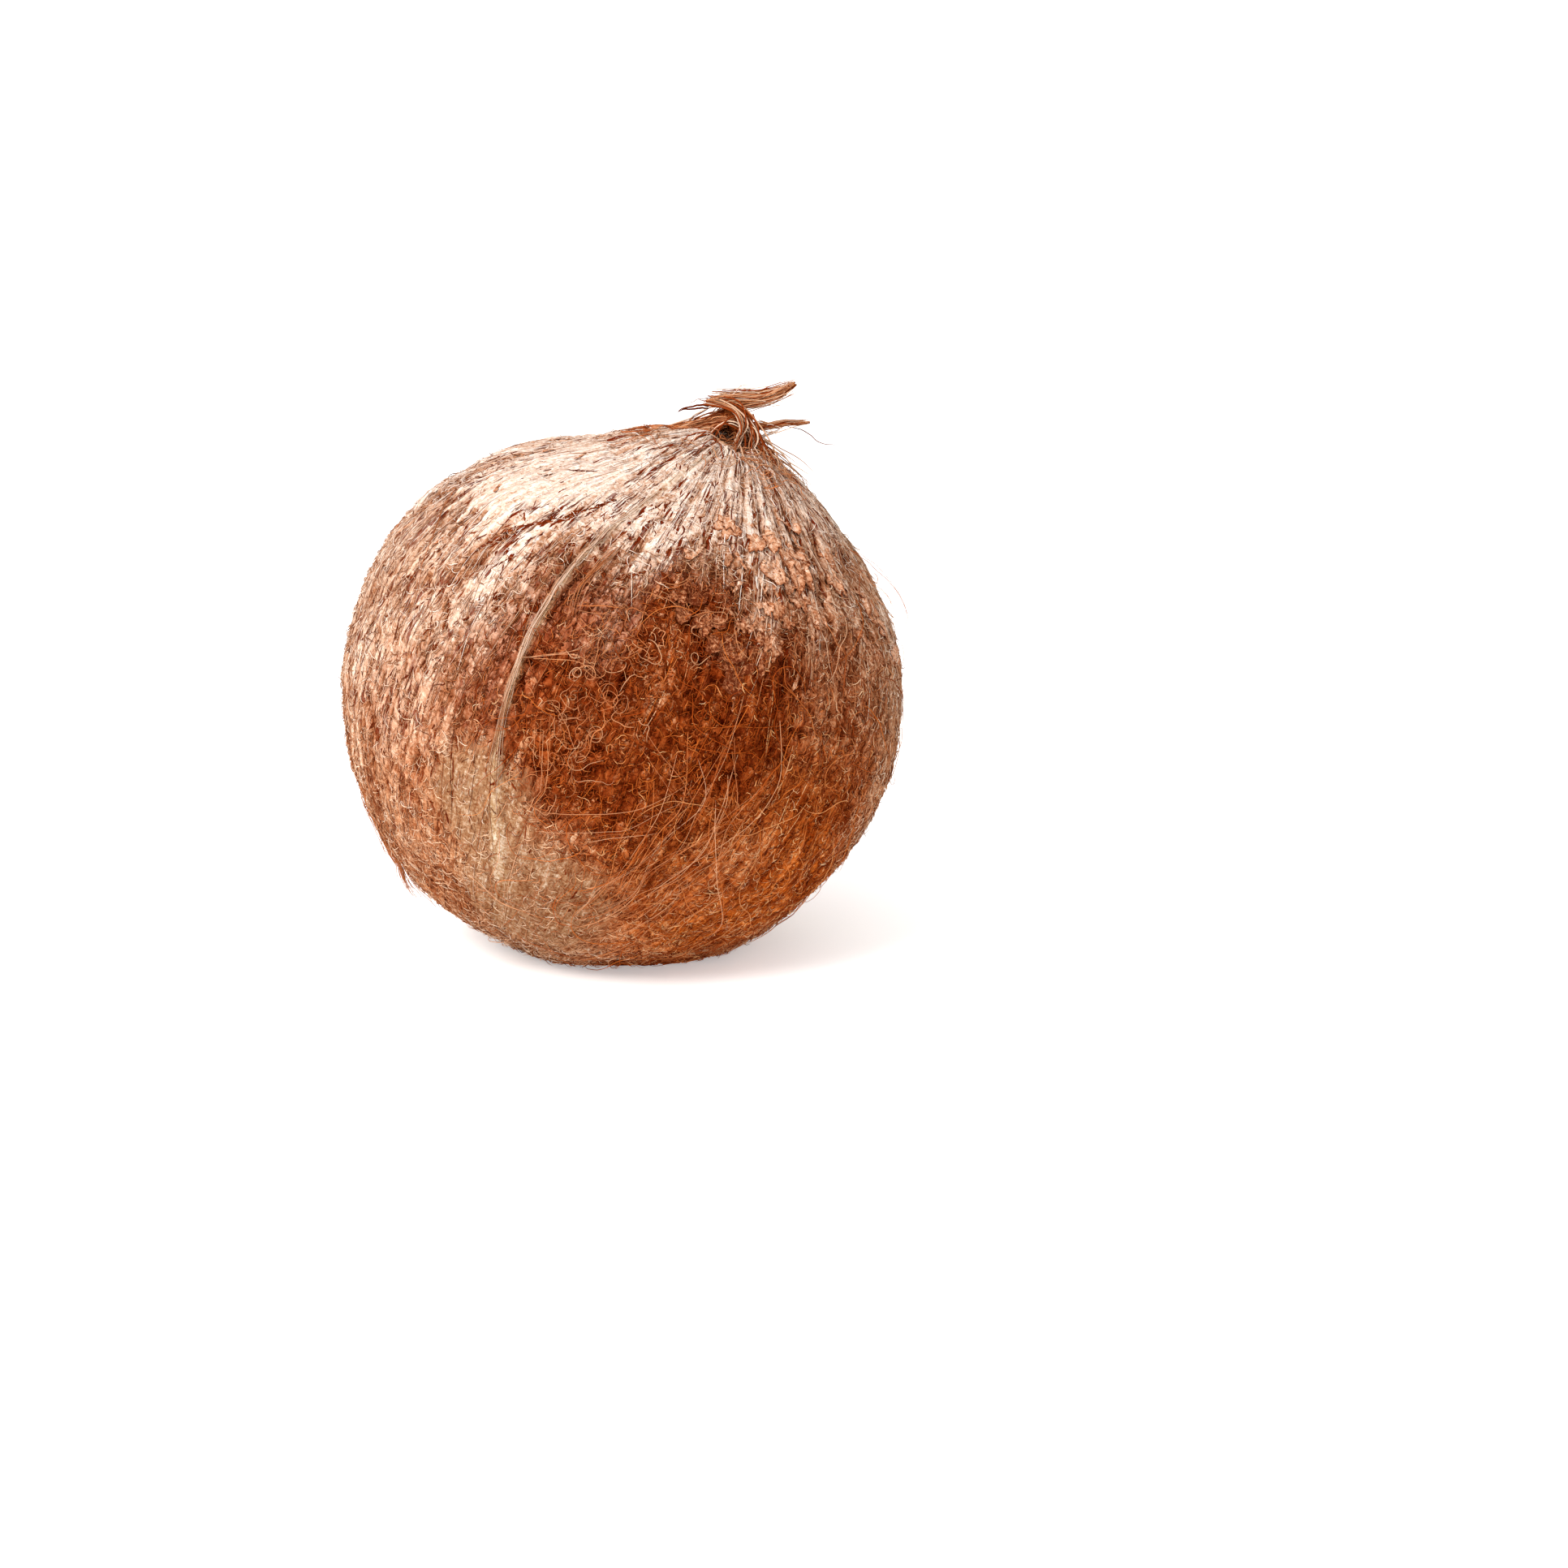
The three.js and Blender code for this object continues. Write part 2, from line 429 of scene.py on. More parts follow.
def model_coat(sizes):
    """A ball laid on the nut's axis, shrunk on to the nut and given the coat's relief."""
    deselect_all()
    turn = Matrix((nut.low_side, nut.across, nut.axis)).transposed().to_euler()
    bpy.ops.mesh.primitive_uv_sphere_add(
        segments=coat_surface.segments,
        ring_count=coat_surface.rings,
        radius=nut.radius,
        location=nut.middle,
        rotation=turn,
    )
    coat = bpy.context.object
    coat.name = "husk_coat"
    coat.data.name = "husk_coat"
    apply_place()
    directions = unit(vertex_places(coat.data) - nut.middle)
    shrink = coat.modifiers.new("Shrinkwrap", "SHRINKWRAP")
    shrink.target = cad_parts["nut"]
    shrink.wrap_method = "NEAREST_SURFACEPOINT"
    bpy.ops.object.modifier_apply(modifier=shrink.name)
    ease = coat.modifiers.new("Smooth", "SMOOTH")
    ease.iterations = 6
    bpy.ops.object.modifier_apply(modifier=ease.name)
    relief = Coat(directions, sizes.pleat_depth / MM, sizes.felt_height / MM)
    reach = np.linalg.norm(vertex_places(coat.data) - nut.middle, axis=1)
    reach = reach + relief.height * MM
    places = nut.middle + directions * reach[:, None]
    floor_reach = nut.middle[2] / np.maximum(-directions[:, 2], 1e-6)
    reach = np.where((places[:, 2] < 0) & (directions[:, 2] < 0), floor_reach, reach)
    places = nut.middle + directions * reach[:, None]
    coat.data.vertices.foreach_set("co", places.ravel())
    coat_surface.fill(*nut.polar(directions), reach)
    for name in ("relief", "bleached", "ember", "dark", "seam", "pith", "slit", "lump", "comb"):
        write_attribute(coat.data, name, getattr(relief, name))
    coat.data.uv_layers[0].name = "OFBake"
    bpy.ops.object.shade_smooth()
    return coat


# ---------------------------------------------------------------- strands


def tangent_basis(directions):
    """Unit vectors at each place: away from the crown, and around the nut's axis."""
    around = unit(np.cross(nut.axis, directions))
    return np.cross(around, directions), around


def scatter(generator, count, density):
    """Random directions over the nut, kept where density says, and clear of the flat spot."""
    tries = unit(generator.normal(size=(count, 3)))
    kept = generator.random(count) < density(tries)
    above = nut.middle[2] + tries[:, 2] * nut.radius > 1.2 * MM
    return tries[kept & above]


def smoothed_along(values, times):
    for _ in range(times):
        inner = (values[:, :-2] + values[:, 2:]) / 4 + values[:, 1:-1] / 2
        values = np.concatenate([values[:, :1], inner, values[:, -1:]], axis=1)
    return values


def walk_over_coat(starts, headings, lengths, bends, heights):
    """Paths that start in the given directions, set off at a heading (0 is away from the crown,
    radians), turn by bends at each step and keep heights above the coat, all in metres."""
    steps = heights.shape[1]
    at = starts
    heading = headings.copy()
    visited = [at]
    for step in range(1, steps):
        down, around = tangent_basis(at)
        heading = heading + bends[:, step]
        way = np.cos(heading)[:, None] * down + np.sin(heading)[:, None] * around
        at = unit(at + way * (lengths / (steps - 1) / nut.radius)[:, None])
        visited.append(at)
    directions = np.stack(visited, 1)
    reach = coat_surface.at(directions.reshape(-1, 3)).reshape(heights.shape)
    reach = smoothed_along(reach, 2) + heights
    return nut.middle + directions * reach[..., None]


def strand_mesh(name, paths, radii, shades, tints, sides=3, flat=1.0):
    """A mesh of closed strands along paths, each as wide as its radii and flat times as thick. Its
    map holds each ring's shade and each strand's tint."""
    count, steps = paths.shape[:2]
    paths = paths.copy()
    paths[..., 2] = np.maximum(paths[..., 2], radii + 0.05 * MM)
    forward = unit(np.gradient(paths, axis=1))
    side = unit(np.cross(forward, paths - nut.middle) + 1e-9)
    lift = np.cross(forward, side)
    angles = np.arange(sides) * 2 * np.pi / sides
    across = radii[:, :, None, None] * np.cos(angles)[:, None]
    through = flat * radii[:, :, None, None] * np.sin(angles)[:, None]
    places = paths[:, :, None] + across * side[:, :, None] + through * lift[:, :, None]
    index = np.arange(count * steps * sides).reshape(count, steps, sides)
    after = np.roll(index, -1, axis=2)
    walls = np.stack([index[:, :-1], after[:, :-1], after[:, 1:], index[:, 1:]], -1)
    corners = np.concatenate(
        [walls.ravel(), index[:, 0, ::-1].ravel(), index[:, -1].ravel()]
    )
    wall_count, cap_count = walls.size // 4, 2 * count
    starts = np.concatenate(
        [np.arange(wall_count) * 4, wall_count * 4 + np.arange(cap_count) * sides]
    )
    mesh = bpy.data.meshes.new(name)
    mesh.vertices.add(index.size)
    mesh.vertices.foreach_set("co", places.ravel())
    mesh.loops.add(len(corners))
    mesh.loops.foreach_set("vertex_index", corners.astype(np.int32))
    mesh.polygons.add(len(starts))
    mesh.polygons.foreach_set("loop_start", starts.astype(np.int32))
    mesh.update(calc_edges=True)
    mesh.shade_smooth()
    shade_each = np.repeat(np.broadcast_to(shades, (count, steps)).ravel(), sides)
    tint_each = np.repeat(np.broadcast_to(tints[:, None], (count, steps)).ravel(), sides)
    spread = np.stack([shade_each, tint_each], 1).clip(0.02, 0.98)[corners]
    layer = mesh.uv_layers.new(name="OFBake")
    layer.uv.foreach_set("vector", spread.astype(np.float32).ravel())
    piece = bpy.data.objects.new(name, mesh)
    bpy.context.scene.collection.objects.link(piece)
    return piece


def taper(steps, root=0.8, tip=0.3):
    """Relative thickness along a strand, thickest a third of the way."""
    part = np.linspace(0, 1, steps)
    return np.interp(part, [0, 0.3, 0.75, 1], [root, 1, 0.8, tip])


def tones_at(directions, generator, spread=0.2):
    """A shade from 0, dark, to 1, pale, and a tint from 0, dry tan, to 1, deep orange."""
    dry, ember = region_dry(directions), region_ember(directions)
    dark = region_dark(directions) * (1 - 0.8 * dry)
    shade = 0.5 + 0.12 * dry - 0.26 * dark - 0.08 * ember
    # painted shade and light: strands in the sunk streaks between bundles are darker, and those low on the
    # front paler, as if lit by light bounced from the floor
    shade = shade + 0.2 * (1 - dry) * columns(directions) + 0.12 * near(directions, 134, -112, 34)
    shade = shade + spread * generator.normal(size=len(directions))
    tint = 0.5 - 0.42 * region_bleached(directions) + 0.42 * ember + 0.4 * dark
    tint = tint + 0.07 * generator.normal(size=len(directions))
    return shade.clip(0.02, 0.98), tint.clip(0.02, 0.98)


def felt_density(directions):
    """How thickly the curled felt grows: bare on smooth husk, pith and the seams."""
    bare = np.zeros(len(directions))
    for seam in SEAMS:
        bare = np.maximum(bare, np.exp(-((seam_offset(directions, seam) / 1.6) ** 2)))
    weathered = np.maximum(region_dry(directions), 0.75 * near(directions, 88, -160, 66))
    bare = (1 - 0.85 * weathered) * (1 - 0.8 * bare)
    bare = bare * (1 - 0.7 * region_pith(directions))
    return bare * (1 - 0.8 * Coat.pale_patches(directions))


def model_felt(name, tries, generator_seed):
    """Short thick curls matted together, some of whose ends stand out from the coat."""
    generator = np.random.default_rng(SEED + generator_seed)
    starts = scatter(generator, tries, felt_density)
    count, steps = len(starts), 6
    part = np.linspace(0, 1, steps)
    lengths = generator.uniform(1.2, 4.2, count) * MM
    combed = (0.85 - region_dark(starts) - 0.7 * region_ember(starts)).clip(0, 1)
    headings = generator.normal(0, 0.3, count)
    headings = headings + generator.uniform(-np.pi, np.pi, count) * (1 - combed)
    steady = generator.normal(0, 0.3, (count, 1))
    bends = steady + generator.normal(0, 0.5, (count, steps))
    arch = generator.uniform(0.0, 0.45, (count, 1)) * np.sin(np.pi * part)
    loose = np.maximum(generator.normal(-0.1, 0.45, (count, 1)), -0.25) * part**2
    heights = (-0.2 * (1 - part) ** 2 + 0.1 + arch + loose) * MM
    paths = walk_over_coat(starts, headings, lengths, bends, heights)
    thick = generator.uniform(0.055, 0.115, (count, 1)) * MM
    shades, tints = tones_at(starts, generator, spread=0.27)
    # painted shade and light: each curl is darker at its root among the others and paler towards its lit
    # tip
    shades = shades[:, None] * np.interp(part, [0, 0.4, 1], [0.55, 1, 1.15])
    return strand_mesh(name, paths, thick * taper(steps, 0.7, 0.4), shades, tints)


def combed_density(directions):
    from_crown, _ = nut.polar(directions)
    thick = smoothstep(8, 24, from_crown) * (1 - 0.75 * smoothstep(70, 110, from_crown))
    calm = np.maximum(Coat.pale_patches(directions), region_crust(directions))
    return thick * (1 - 0.88 * calm)


def model_combed(name, tries):
    """Longer strands that run down from the crown and hug the coat."""
    generator = np.random.default_rng(SEED + 40)
    starts = scatter(generator, tries, combed_density)
    count, steps = len(starts), 10
    part = np.linspace(0, 1, steps)
    lengths = generator.gamma(3.0, 3.4, count).clip(4, 32) * MM
    headings = generator.normal(0, 0.09, count)
    bends = generator.normal(0, 0.05, (count, steps))
    lifted = np.maximum(generator.normal(-0.2, 0.4, (count, 1)), 0) * part**3
    sunk = -0.25 * np.abs(2 * part - 1) ** 6
    heights = (0.1 + sunk + lifted) * MM
    paths = walk_over_coat(starts, headings, lengths, bends, heights)
    thick = generator.uniform(0.05, 0.12, (count, 1)) * MM
    shades, tints = tones_at(starts, generator, spread=0.25)
    return strand_mesh(name, paths, thick * taper(steps, 0.5, 0.2), shades[:, None], tints)


def hair_density(directions):
    low_front = near(directions, 100, -72, 60)
    back = 0.5 * near(directions, 95, 90, 70)
    edge = 0.35 * near(directions, 60, -25, 60)
    return (0.05 + low_front + back + edge) * (1 - 0.8 * region_dry(directions))


def model_loose_hairs(name, tries):
    """Long hairs that wander over the felt and stand off it in loose bows."""
    generator = np.random.default_rng(SEED + 60)
    starts = scatter(generator, tries, hair_density)
    count, steps = len(starts), 22
    part = np.linspace(0, 1, steps)
    lengths = generator.uniform(6, 28, count) * MM
    headings = generator.normal(0, 1.1, count)
    steady = generator.normal(0, 0.07, (count, 1))
    bends = steady + smoothed_along(generator.normal(0, 0.22, (count, steps)), 2)
    bow = generator.uniform(0.1, 1.6, (count, 1)) * np.sin(np.pi * part) ** 0.8
    free = np.maximum(generator.normal(0.0, 1.0, (count, 1)), 0) * part**2
    heights = (0.1 + bow + free) * MM
    paths = walk_over_coat(starts, headings, lengths, bends, heights)
    thick = generator.uniform(0.055, 0.11, (count, 1)) * MM
    shades, tints = tones_at(starts, generator)
    shades = (shades + 0.1)[:, None].clip(0, 0.75)
    tints = (tints + 0.2).clip(0, 0.98)
    return strand_mesh(name, paths, thick * taper(steps, 0.6, 0.2), shades, tints)


# ---------------------------------------------------------------- gaps, laid as dark slivers of painted shade


def gap_density(directions):
    from_crown, _ = nut.polar(directions)
    crown = smoothstep(6, 14, from_crown) * region_dry(directions)
    left = 0.7 * near(directions, 84, -158, 64)
    right = 0.9 * near(directions, 42, -30, 34)
    edge = 1.3 * near(directions, 60, -80, 22)
    return (0.55 * crown + left + right + edge + 0.06).clip(0, 1) * (
        1 - 0.8 * Coat.pale_patches(directions)
    )


# Wide tears, laid as dark slivers of painted shade: (degrees from the crown, degrees around) at both ends,
# and half width in mm
TEARS = (
    ((41, -154), (35, -144), 0.2),
    ((48, -155), (43, -154), 0.2),
    ((40, -128), (48, -131), 0.4),
    ((47, -131), (53, -133), 0.65),
    ((53, -134), (58, -138), 0.7),
    ((57, -137), (63, -142), 0.85),
    ((61, -141), (67, -145), 0.6),
    ((58, -128), (57, -124), 0.4),
    ((79, -156), (81, -157), 0.5),
    ((73, -133), (75, -133), 0.45),
    ((80, -142), (82, -142), 0.4),
    ((88, -140), (90, -140), 0.35),
    ((69, -124), (75, -124), 0.45),
    ((74, -124), (81, -123), 0.5),
    ((57, -120), (61, -113), 0.35),
    ((60, -112), (55, -106), 0.35),
    ((54, -105), (56, -94), 0.4),
    ((56, -92), (58, -83), 0.4),
    ((58, -82), (62, -73), 0.5),
    ((56, -70), (63, -65), 0.6),
    ((40, -62), (49, -58), 0.45),
    ((30, -48), (42, -46), 0.5),
    ((22, -58), (34, -56), 0.35),
    ((36, 60), (46, 64), 0.6),
    ((58, 140), (66, 144), 0.6),
)


def model_gap_shade(name, tries):
    """Dark slivers laid on the coat as painted shade in the narrow gaps between the strands and plates of
    the dry husk, and in the wider tears.
    """
    generator = np.random.default_rng(SEED + 70)
    starts = scatter(generator, tries, gap_density)
    steps, slivers = 8, 8
    part = np.linspace(0, 1, steps)
    lengths = generator.gamma(2.2, 1.3, len(starts)).clip(1, 9) * MM
    headings = generator.normal(0, 0.28, len(starts))
    bends = generator.normal(0, 0.16, (len(starts), steps))
    gap_heights = np.full((len(starts), steps), 0.02 * MM)
    routes = [walk_over_coat(starts, headings, lengths, bends, gap_heights)]
    half_widths = [generator.uniform(0.08, 0.26, len(starts))]
    tear_heights = np.full((slivers, steps), 0.05 * MM)
    for start, end, wide in TEARS:
        first = generator.uniform(0, 0.62, (slivers, 1, 1))
        share = first + part[None, :, None] * generator.uniform(0.25, 0.5, (slivers, 1, 1))
        line = np.array(start) + np.subtract(end, start) * share
        line = line + generator.normal(0, 0.55 * wide, (slivers, 1, 2))
        line = line + generator.normal(0, 0.22, (slivers, steps, 2))
        routes.append(over_coat(line[..., 0], line[..., 1], tear_heights))
        half_widths.append(wide * generator.uniform(0.3, 0.8, slivers))
    paths, half = np.concatenate(routes), np.concatenate(half_widths)
    outline = np.interp(part, [0, 0.3, 0.8, 1], [0.1, 1, 0.9, 0.1])
    ragged = generator.uniform(0.6, 1.4, (len(half), steps)) * outline
    # painted shade: the slivers are deep red-brown, standing for the shade in the gaps
    shades = generator.uniform(0.0, 0.16, (len(half), 1)) * np.ones(steps)
    tints = generator.uniform(0.8, 0.98, len(half))
    return strand_mesh(name, paths, half[:, None] * ragged * MM, shades, tints, sides=4, flat=0.15)


# ---------------------------------------------------------------- flakes, plates, seams and single hairs


def flake_density(directions):
    front = near(directions, 49, -77, 25) + 0.6 * near(directions, 44, -38, 28)
    back = 0.4 * near(directions, 46, 90, 40) + 0.3 * near(directions, 55, 170, 34)
    return (front + back).clip(0, 1)


def model_flakes(name, tries):
    """Narrow torn slips of husk that lie down the coat, and whose lower ends lift off it."""
    generator = np.random.default_rng(SEED + 80)
    starts = scatter(generator, tries, flake_density)
    count, steps = len(starts), 12
    part = np.linspace(0, 1, steps)
    lengths = generator.uniform(2, 8, count) * MM
    headings = generator.normal(0, 0.3, count)
    bends = generator.normal(0, 0.1, (count, steps))
    lifted = generator.uniform(0.05, 0.75, (count, 1)) * part**2
    uneven = smoothed_along(generator.normal(0, 0.14, (count, steps)), 1)
    heights = (-0.35 * (1 - part) ** 3 + 0.02 + lifted + uneven) * MM
    paths = walk_over_coat(starts, headings, lengths, bends, heights)
    broad = generator.uniform(0.2, 0.7, (count, 1)) * MM
    outline = np.interp(part, [0, 0.15, 0.6, 0.92, 1], [0.3, 0.8, 1, 0.85, 0.3])
    ragged = 1 + generator.normal(0, 0.28, (count, steps))
    radii = broad * outline * ragged.clip(0.3, 1.7)
    shades, tints = tones_at(starts, generator, spread=0.1)
    # painted shade: each flake is darker at both ends, where it meets the coat and where its end lifts off
    # it
    shades = (shades - 0.08)[:, None] * np.interp(part, [0, 0.3, 0.85, 1], [0.6, 1, 1, 0.6])
    piece = strand_mesh(name, paths, radii, shades, tints, sides=6, flat=0.1)
    write_attribute(piece.data, "shade", np.repeat(shades.ravel(), 6))
    piece.data.uv_layers.remove(piece.data.uv_layers["OFBake"])
    piece.data.shade_flat()
    return piece


def plate_density(directions):
    front = near(directions, 49, -77, 24) + 0.7 * near(directions, 44, -42, 26)
    return front.clip(0, 1)


def model_plates(name, tries):
    """Thin ragged plates of crust that lie on the coat like bark, curled up at their lower edges."""
    generator = np.random.default_rng(SEED + 85)
    centres = scatter(generator, tries, plate_density)
    count, rings, sides = len(centres), 7, 26
    out = np.linspace(0, 1, rings)[None, :, None]
    turn = np.arange(sides)[None, None] * 2 * np.pi / sides
    jag = 1 + generator.normal(0, 0.13, (count, 1, sides))
    for wave in (2, 3, 5):
        phase = generator.uniform(0, 2 * np.pi, (count, 1, 1))
        jag = jag + generator.normal(0, 0.22 / wave**0.5, (count, 1, 1)) * np.cos(wave * turn + phase)
    size = generator.uniform(1.3, 4.2, (count, 1, 1)) * MM
    tall = generator.uniform(1.0, 1.9, (count, 1, 1))
    down_mm = size * tall * out * jag.clip(0.35, 1.6) * np.cos(turn)
    side_mm = size * out * jag.clip(0.35, 1.6) * np.sin(turn)
    down, around = tangent_basis(centres)
    moved = down_mm[..., None] * down[:, None, None] + side_mm[..., None] * around[:, None, None]
    directions = unit(centres[:, None, None] + moved / nut.radius)
    flat = directions.reshape(-1, 3)
    curl = generator.uniform(0.0, 0.9, (count, 1, 1)) * out**2 * (0.45 + 0.55 * np.cos(turn))
    bumps = 0.1 * lattice_noise(flat, 0.02, 87).reshape(curl.shape)
    lift = (0.12 + curl + bumps - 0.55 * out**2 * (np.cos(turn) < -0.3)) * MM
    thin = 0.22 * MM * (1 - 0.5 * out**4)
    reach = coat_surface.at(flat).reshape(curl.shape) + lift
    top = nut.middle + directions * reach[..., None]
    bottom = nut.middle + directions * (reach - thin)[..., None]
    shades, _ = tones_at(centres, generator, spread=0.06)
    # painted shade: each plate is darker at its ragged rim, where it curls off the coat, and its underside
    # darker still
    shade = (shades[:, None, None] - 0.06) * (1 - 0.8 * out**9) + 0 * turn
    shell = np.concatenate([top, bottom[:, ::-1]], axis=1)
    shade = np.concatenate([shade, 0.3 * shade[:, ::-1]], axis=1)
    layers = 2 * rings
    index = np.arange(count * layers * sides).reshape(count, layers, sides)
    after = np.roll(index, -1, axis=2)
    walls = np.stack([index[:, 1:], after[:, 1:], after[:, :-1], index[:, :-1]], -1).reshape(-1, 4)
    mesh = bpy.data.meshes.new(name)
    mesh.from_pydata(shell.reshape(-1, 3).tolist(), [], walls.tolist())
    write_attribute(mesh, "shade", shade.ravel())
    weld = bmesh.new()
    weld.from_mesh(mesh)
    bmesh.ops.remove_doubles(weld, verts=weld.verts, dist=0.001 * MM)
    weld.to_mesh(mesh)
    weld.free()
    piece = bpy.data.objects.new(name, mesh)
    bpy.context.scene.collection.objects.link(piece)
    return piece


def through_points(points, steps):
    """Smooth paths through (count, n, 3) points."""
    before = 2 * points[:, :1] - points[:, 1:2]
    after = 2 * points[:, -1:] - points[:, -2:-1]
    held = np.concatenate([before, points, after], axis=1)
    place = np.linspace(0, points.shape[1] - 1, steps)
    index = np.minimum(place.astype(int), points.shape[1] - 2)
    t = (place - index)[None, :, None]
    a, b, c, d = (held[:, index + k] for k in range(4))
    return 0.5 * (
        2 * b + (c - a) * t + (2 * a - 5 * b + 4 * c - d) * t**2 + (3 * b - a - 3 * c + d) * t**3
    )


def over_coat(from_crown, around, heights):
    """Places at so many degrees from the crown and around, at heights above the coat."""
    directions = nut.direction(np.asarray(from_crown, float), np.asarray(around, float))
    reach = coat_surface.at(directions.reshape(-1, 3)).reshape(directions.shape[:-1])
    return nut.middle + directions * (smoothed_along(reach, 2) + heights)[..., None]


def model_seam_strands(name, per_seam):
    """Fine strands bound into a ribbon along each of the three seams."""
    generator = np.random.default_rng(SEED + 90)
    count, steps = per_seam * len(SEAMS), 26
    part = np.linspace(0, 1, steps)
    seams = np.repeat(SEAMS, per_seam)[:, None]
    start = generator.uniform(30, 84, (count, 1))
    span = generator.uniform(16, 44, (count, 1))
    from_crown = np.minimum(start + span * part, 128)
    wide = np.where(seams == SEAMS[1], 2.0, 0.42) + 0.7 * smoothstep(84, 110, from_crown)
    off = generator.normal(0, 1, (count, 1)) * wide * smoothstep(0, 30, from_crown)
    off = off + smoothed_along(generator.normal(0, 0.3, (count, steps)), 4)
    degrees = np.degrees(off * MM / nut.radius / np.sin(np.radians(from_crown)))
    around = seam_around(seams, from_crown) + degrees
    heights = (0.08 + generator.uniform(0, 0.2, (count, 1)) - 0.3 * np.abs(2 * part - 1) ** 8) * MM
    paths = over_coat(from_crown, around, heights)
    thick = generator.uniform(0.05, 0.12, (count, 1)) * MM
    shades = generator.uniform(0.4, 0.76, (count, 1)) - 0.2 * smoothstep(80, 96, from_crown)
    tints = generator.uniform(0.15, 0.45, count)
    return strand_mesh(name, paths, thick * taper(steps, 0.3, 0.2), shades, tints)


# Hairs that each have a place of their own: how many run side by side, how far apart in degrees, and
# (degrees from the crown, degrees around, height in mm) along them
SINGLE_HAIRS = (
    (2, 0.6, ((91, -113, 0.2), (95, -111, 1.0), (98, -110, 1.6), (103, -107, 0.8))),
    (2, 0.6, ((94, -110, 0.3), (98, -108, 2.0), (102, -106, 2.8), (105, -106, 2.2), (110, -108, 0.8))),
    (2, 0.7, ((111, -104, 0.4), (107, -95, 1.4), (103, -88, 1.8), (98, -83, 1.2), (94, -79, 0.3))),
    (2, 0.6, ((110, -95, 0.5), (106, -89, 1.4), (102, -82, 0.4))),
    (3, 0.8, ((130, -87, 0.2), (123, -86, 1.2), (117, -85, 1.4), (111, -81, 0.8), (103, -79, 0.3))),
    (3, 0.8, ((132, -85, 0.2), (125, -81, 1.2), (117, -79, 1.4), (108, -79, 0.5))),
    (2, 0.6, ((86, -93, 0.2), (89, -88, 1.5), (92, -82, 1.4), (96, -77, 0.4))),
    (2, 0.5, ((82, -121, 0.4), (79, -116, 1.0), (75, -111, 1.4), (69, -107, 0.6))),
    (2, 0.5, ((82, -119, 0.3), (80, -115, 0.9), (78, -110, 1.0), (79, -104, 0.5))),
    (2, 0.4, ((69, -116, 0.3), (67, -111, 0.9), (65, -106, 0.4))),
    (2, 0.4, ((71, -114, 0.3), (72, -110, 1.5), (69, -108, 1.7), (67, -109, 0.6))),
    (2, 0.4, ((58, -101, 0.3), (57, -98, 1.6), (54, -96, 1.2), (52, -97, 0.4))),
    (2, 1.0, ((92, -73, 0.2), (99, -71, 3), (106, -66, 5), (114, -59, 5), (122, -54, 3))),
    (2, 1.0, ((34, -14, 0.3), (38, -18, 3), (43, -20, 5), (50, -19, 5.5), (54, -21, 3.5))),
    (2, 1.0, ((36, -24, 0.3), (41, -24, 2.4), (47, -23, 3.6), (52, -26, 3))),
    (2, 1.0, ((30, -170, 0.3), (26, -160, 1.6), (24, -150, 2.4), (24, -138, 1.4))),
    (3, 1.2, ((62, -172, 0.2), (70, -160, 0.8), (80, -152, 0.9), (92, -149, 0.3))),
    (26, 1.3, ((132, -170, 0.1), (141, -169, 0.3), (149, -168, 1.2), (155, -167, 3))),
    (12, 2.2, ((136, -163, 0.1), (143, -165, 0.5), (150, -167, 1.4), (154, -168, 2.2))),
    (8, 3.2, ((84, -80, 0.1), (94, -79, 0.7), (105, -80, 1), (118, -82, 0.8), (132, -85, 0.2))),
    (8, 3.6, ((88, -70, 0.1), (98, -69, 0.8), (109, -70, 1.1), (119, -76, 0.9), (131, -81, 0.2))),
    (8, 3.6, ((94, -66, 0.1), (104, -67, 0.9), (114, -71, 1.1), (128, -75, 0.8), (143, -79, 0.2))),
    (5, 3.0, ((100, -88, 0.1), (108, -88, 0.7), (118, -87, 0.8), (130, -86, 0.2))),
    (9, 0.5, ((54, -116, 0.1), (60, -117, 0.4), (65, -118, 0.5), (71, -116, 1.0))),
)


def model_single_hairs(name):
    """The few long hairs that each lie in a place of their own, in twos and threes."""
    generator = np.random.default_rng(SEED + 95)
    steps, paths = 30, []
    for together, apart, route in SINGLE_HAIRS:
        copies = np.repeat(np.array(route, float)[None], together, axis=0)
        copies += generator.normal(0, 1, (together, 1, 3)) * (2 * apart, apart, 0.2)
        copies += generator.normal(0, 0.5, copies.shape) * (apart, apart, 0.4)
        line = through_points(copies, steps)
        paths.append(over_coat(line[..., 0], line[..., 1], np.maximum(line[..., 2], 0.1) * MM))
    paths = np.concatenate(paths)
    thick = generator.uniform(0.05, 0.09, (len(paths), 1)) * MM
    shades = generator.uniform(0.4, 0.72, (len(paths), 1)) * np.ones(steps)
    tints = generator.uniform(0.6, 0.95, len(paths))
    return strand_mesh(name, paths, thick * taper(steps, 0.8, 0.3), shades, tints)


# Tangles of loose fibre: degrees from the crown, degrees around, and how many strands
TANGLES = (
    (82, -103, 26), (91, -105, 18), (74, -103, 10), (78, 70, 20), (100, 150, 16), (60, -88, 8),
    (8, -70, 26), (9, -30, 26), (8, 40, 16), (10, -100, 12),
)


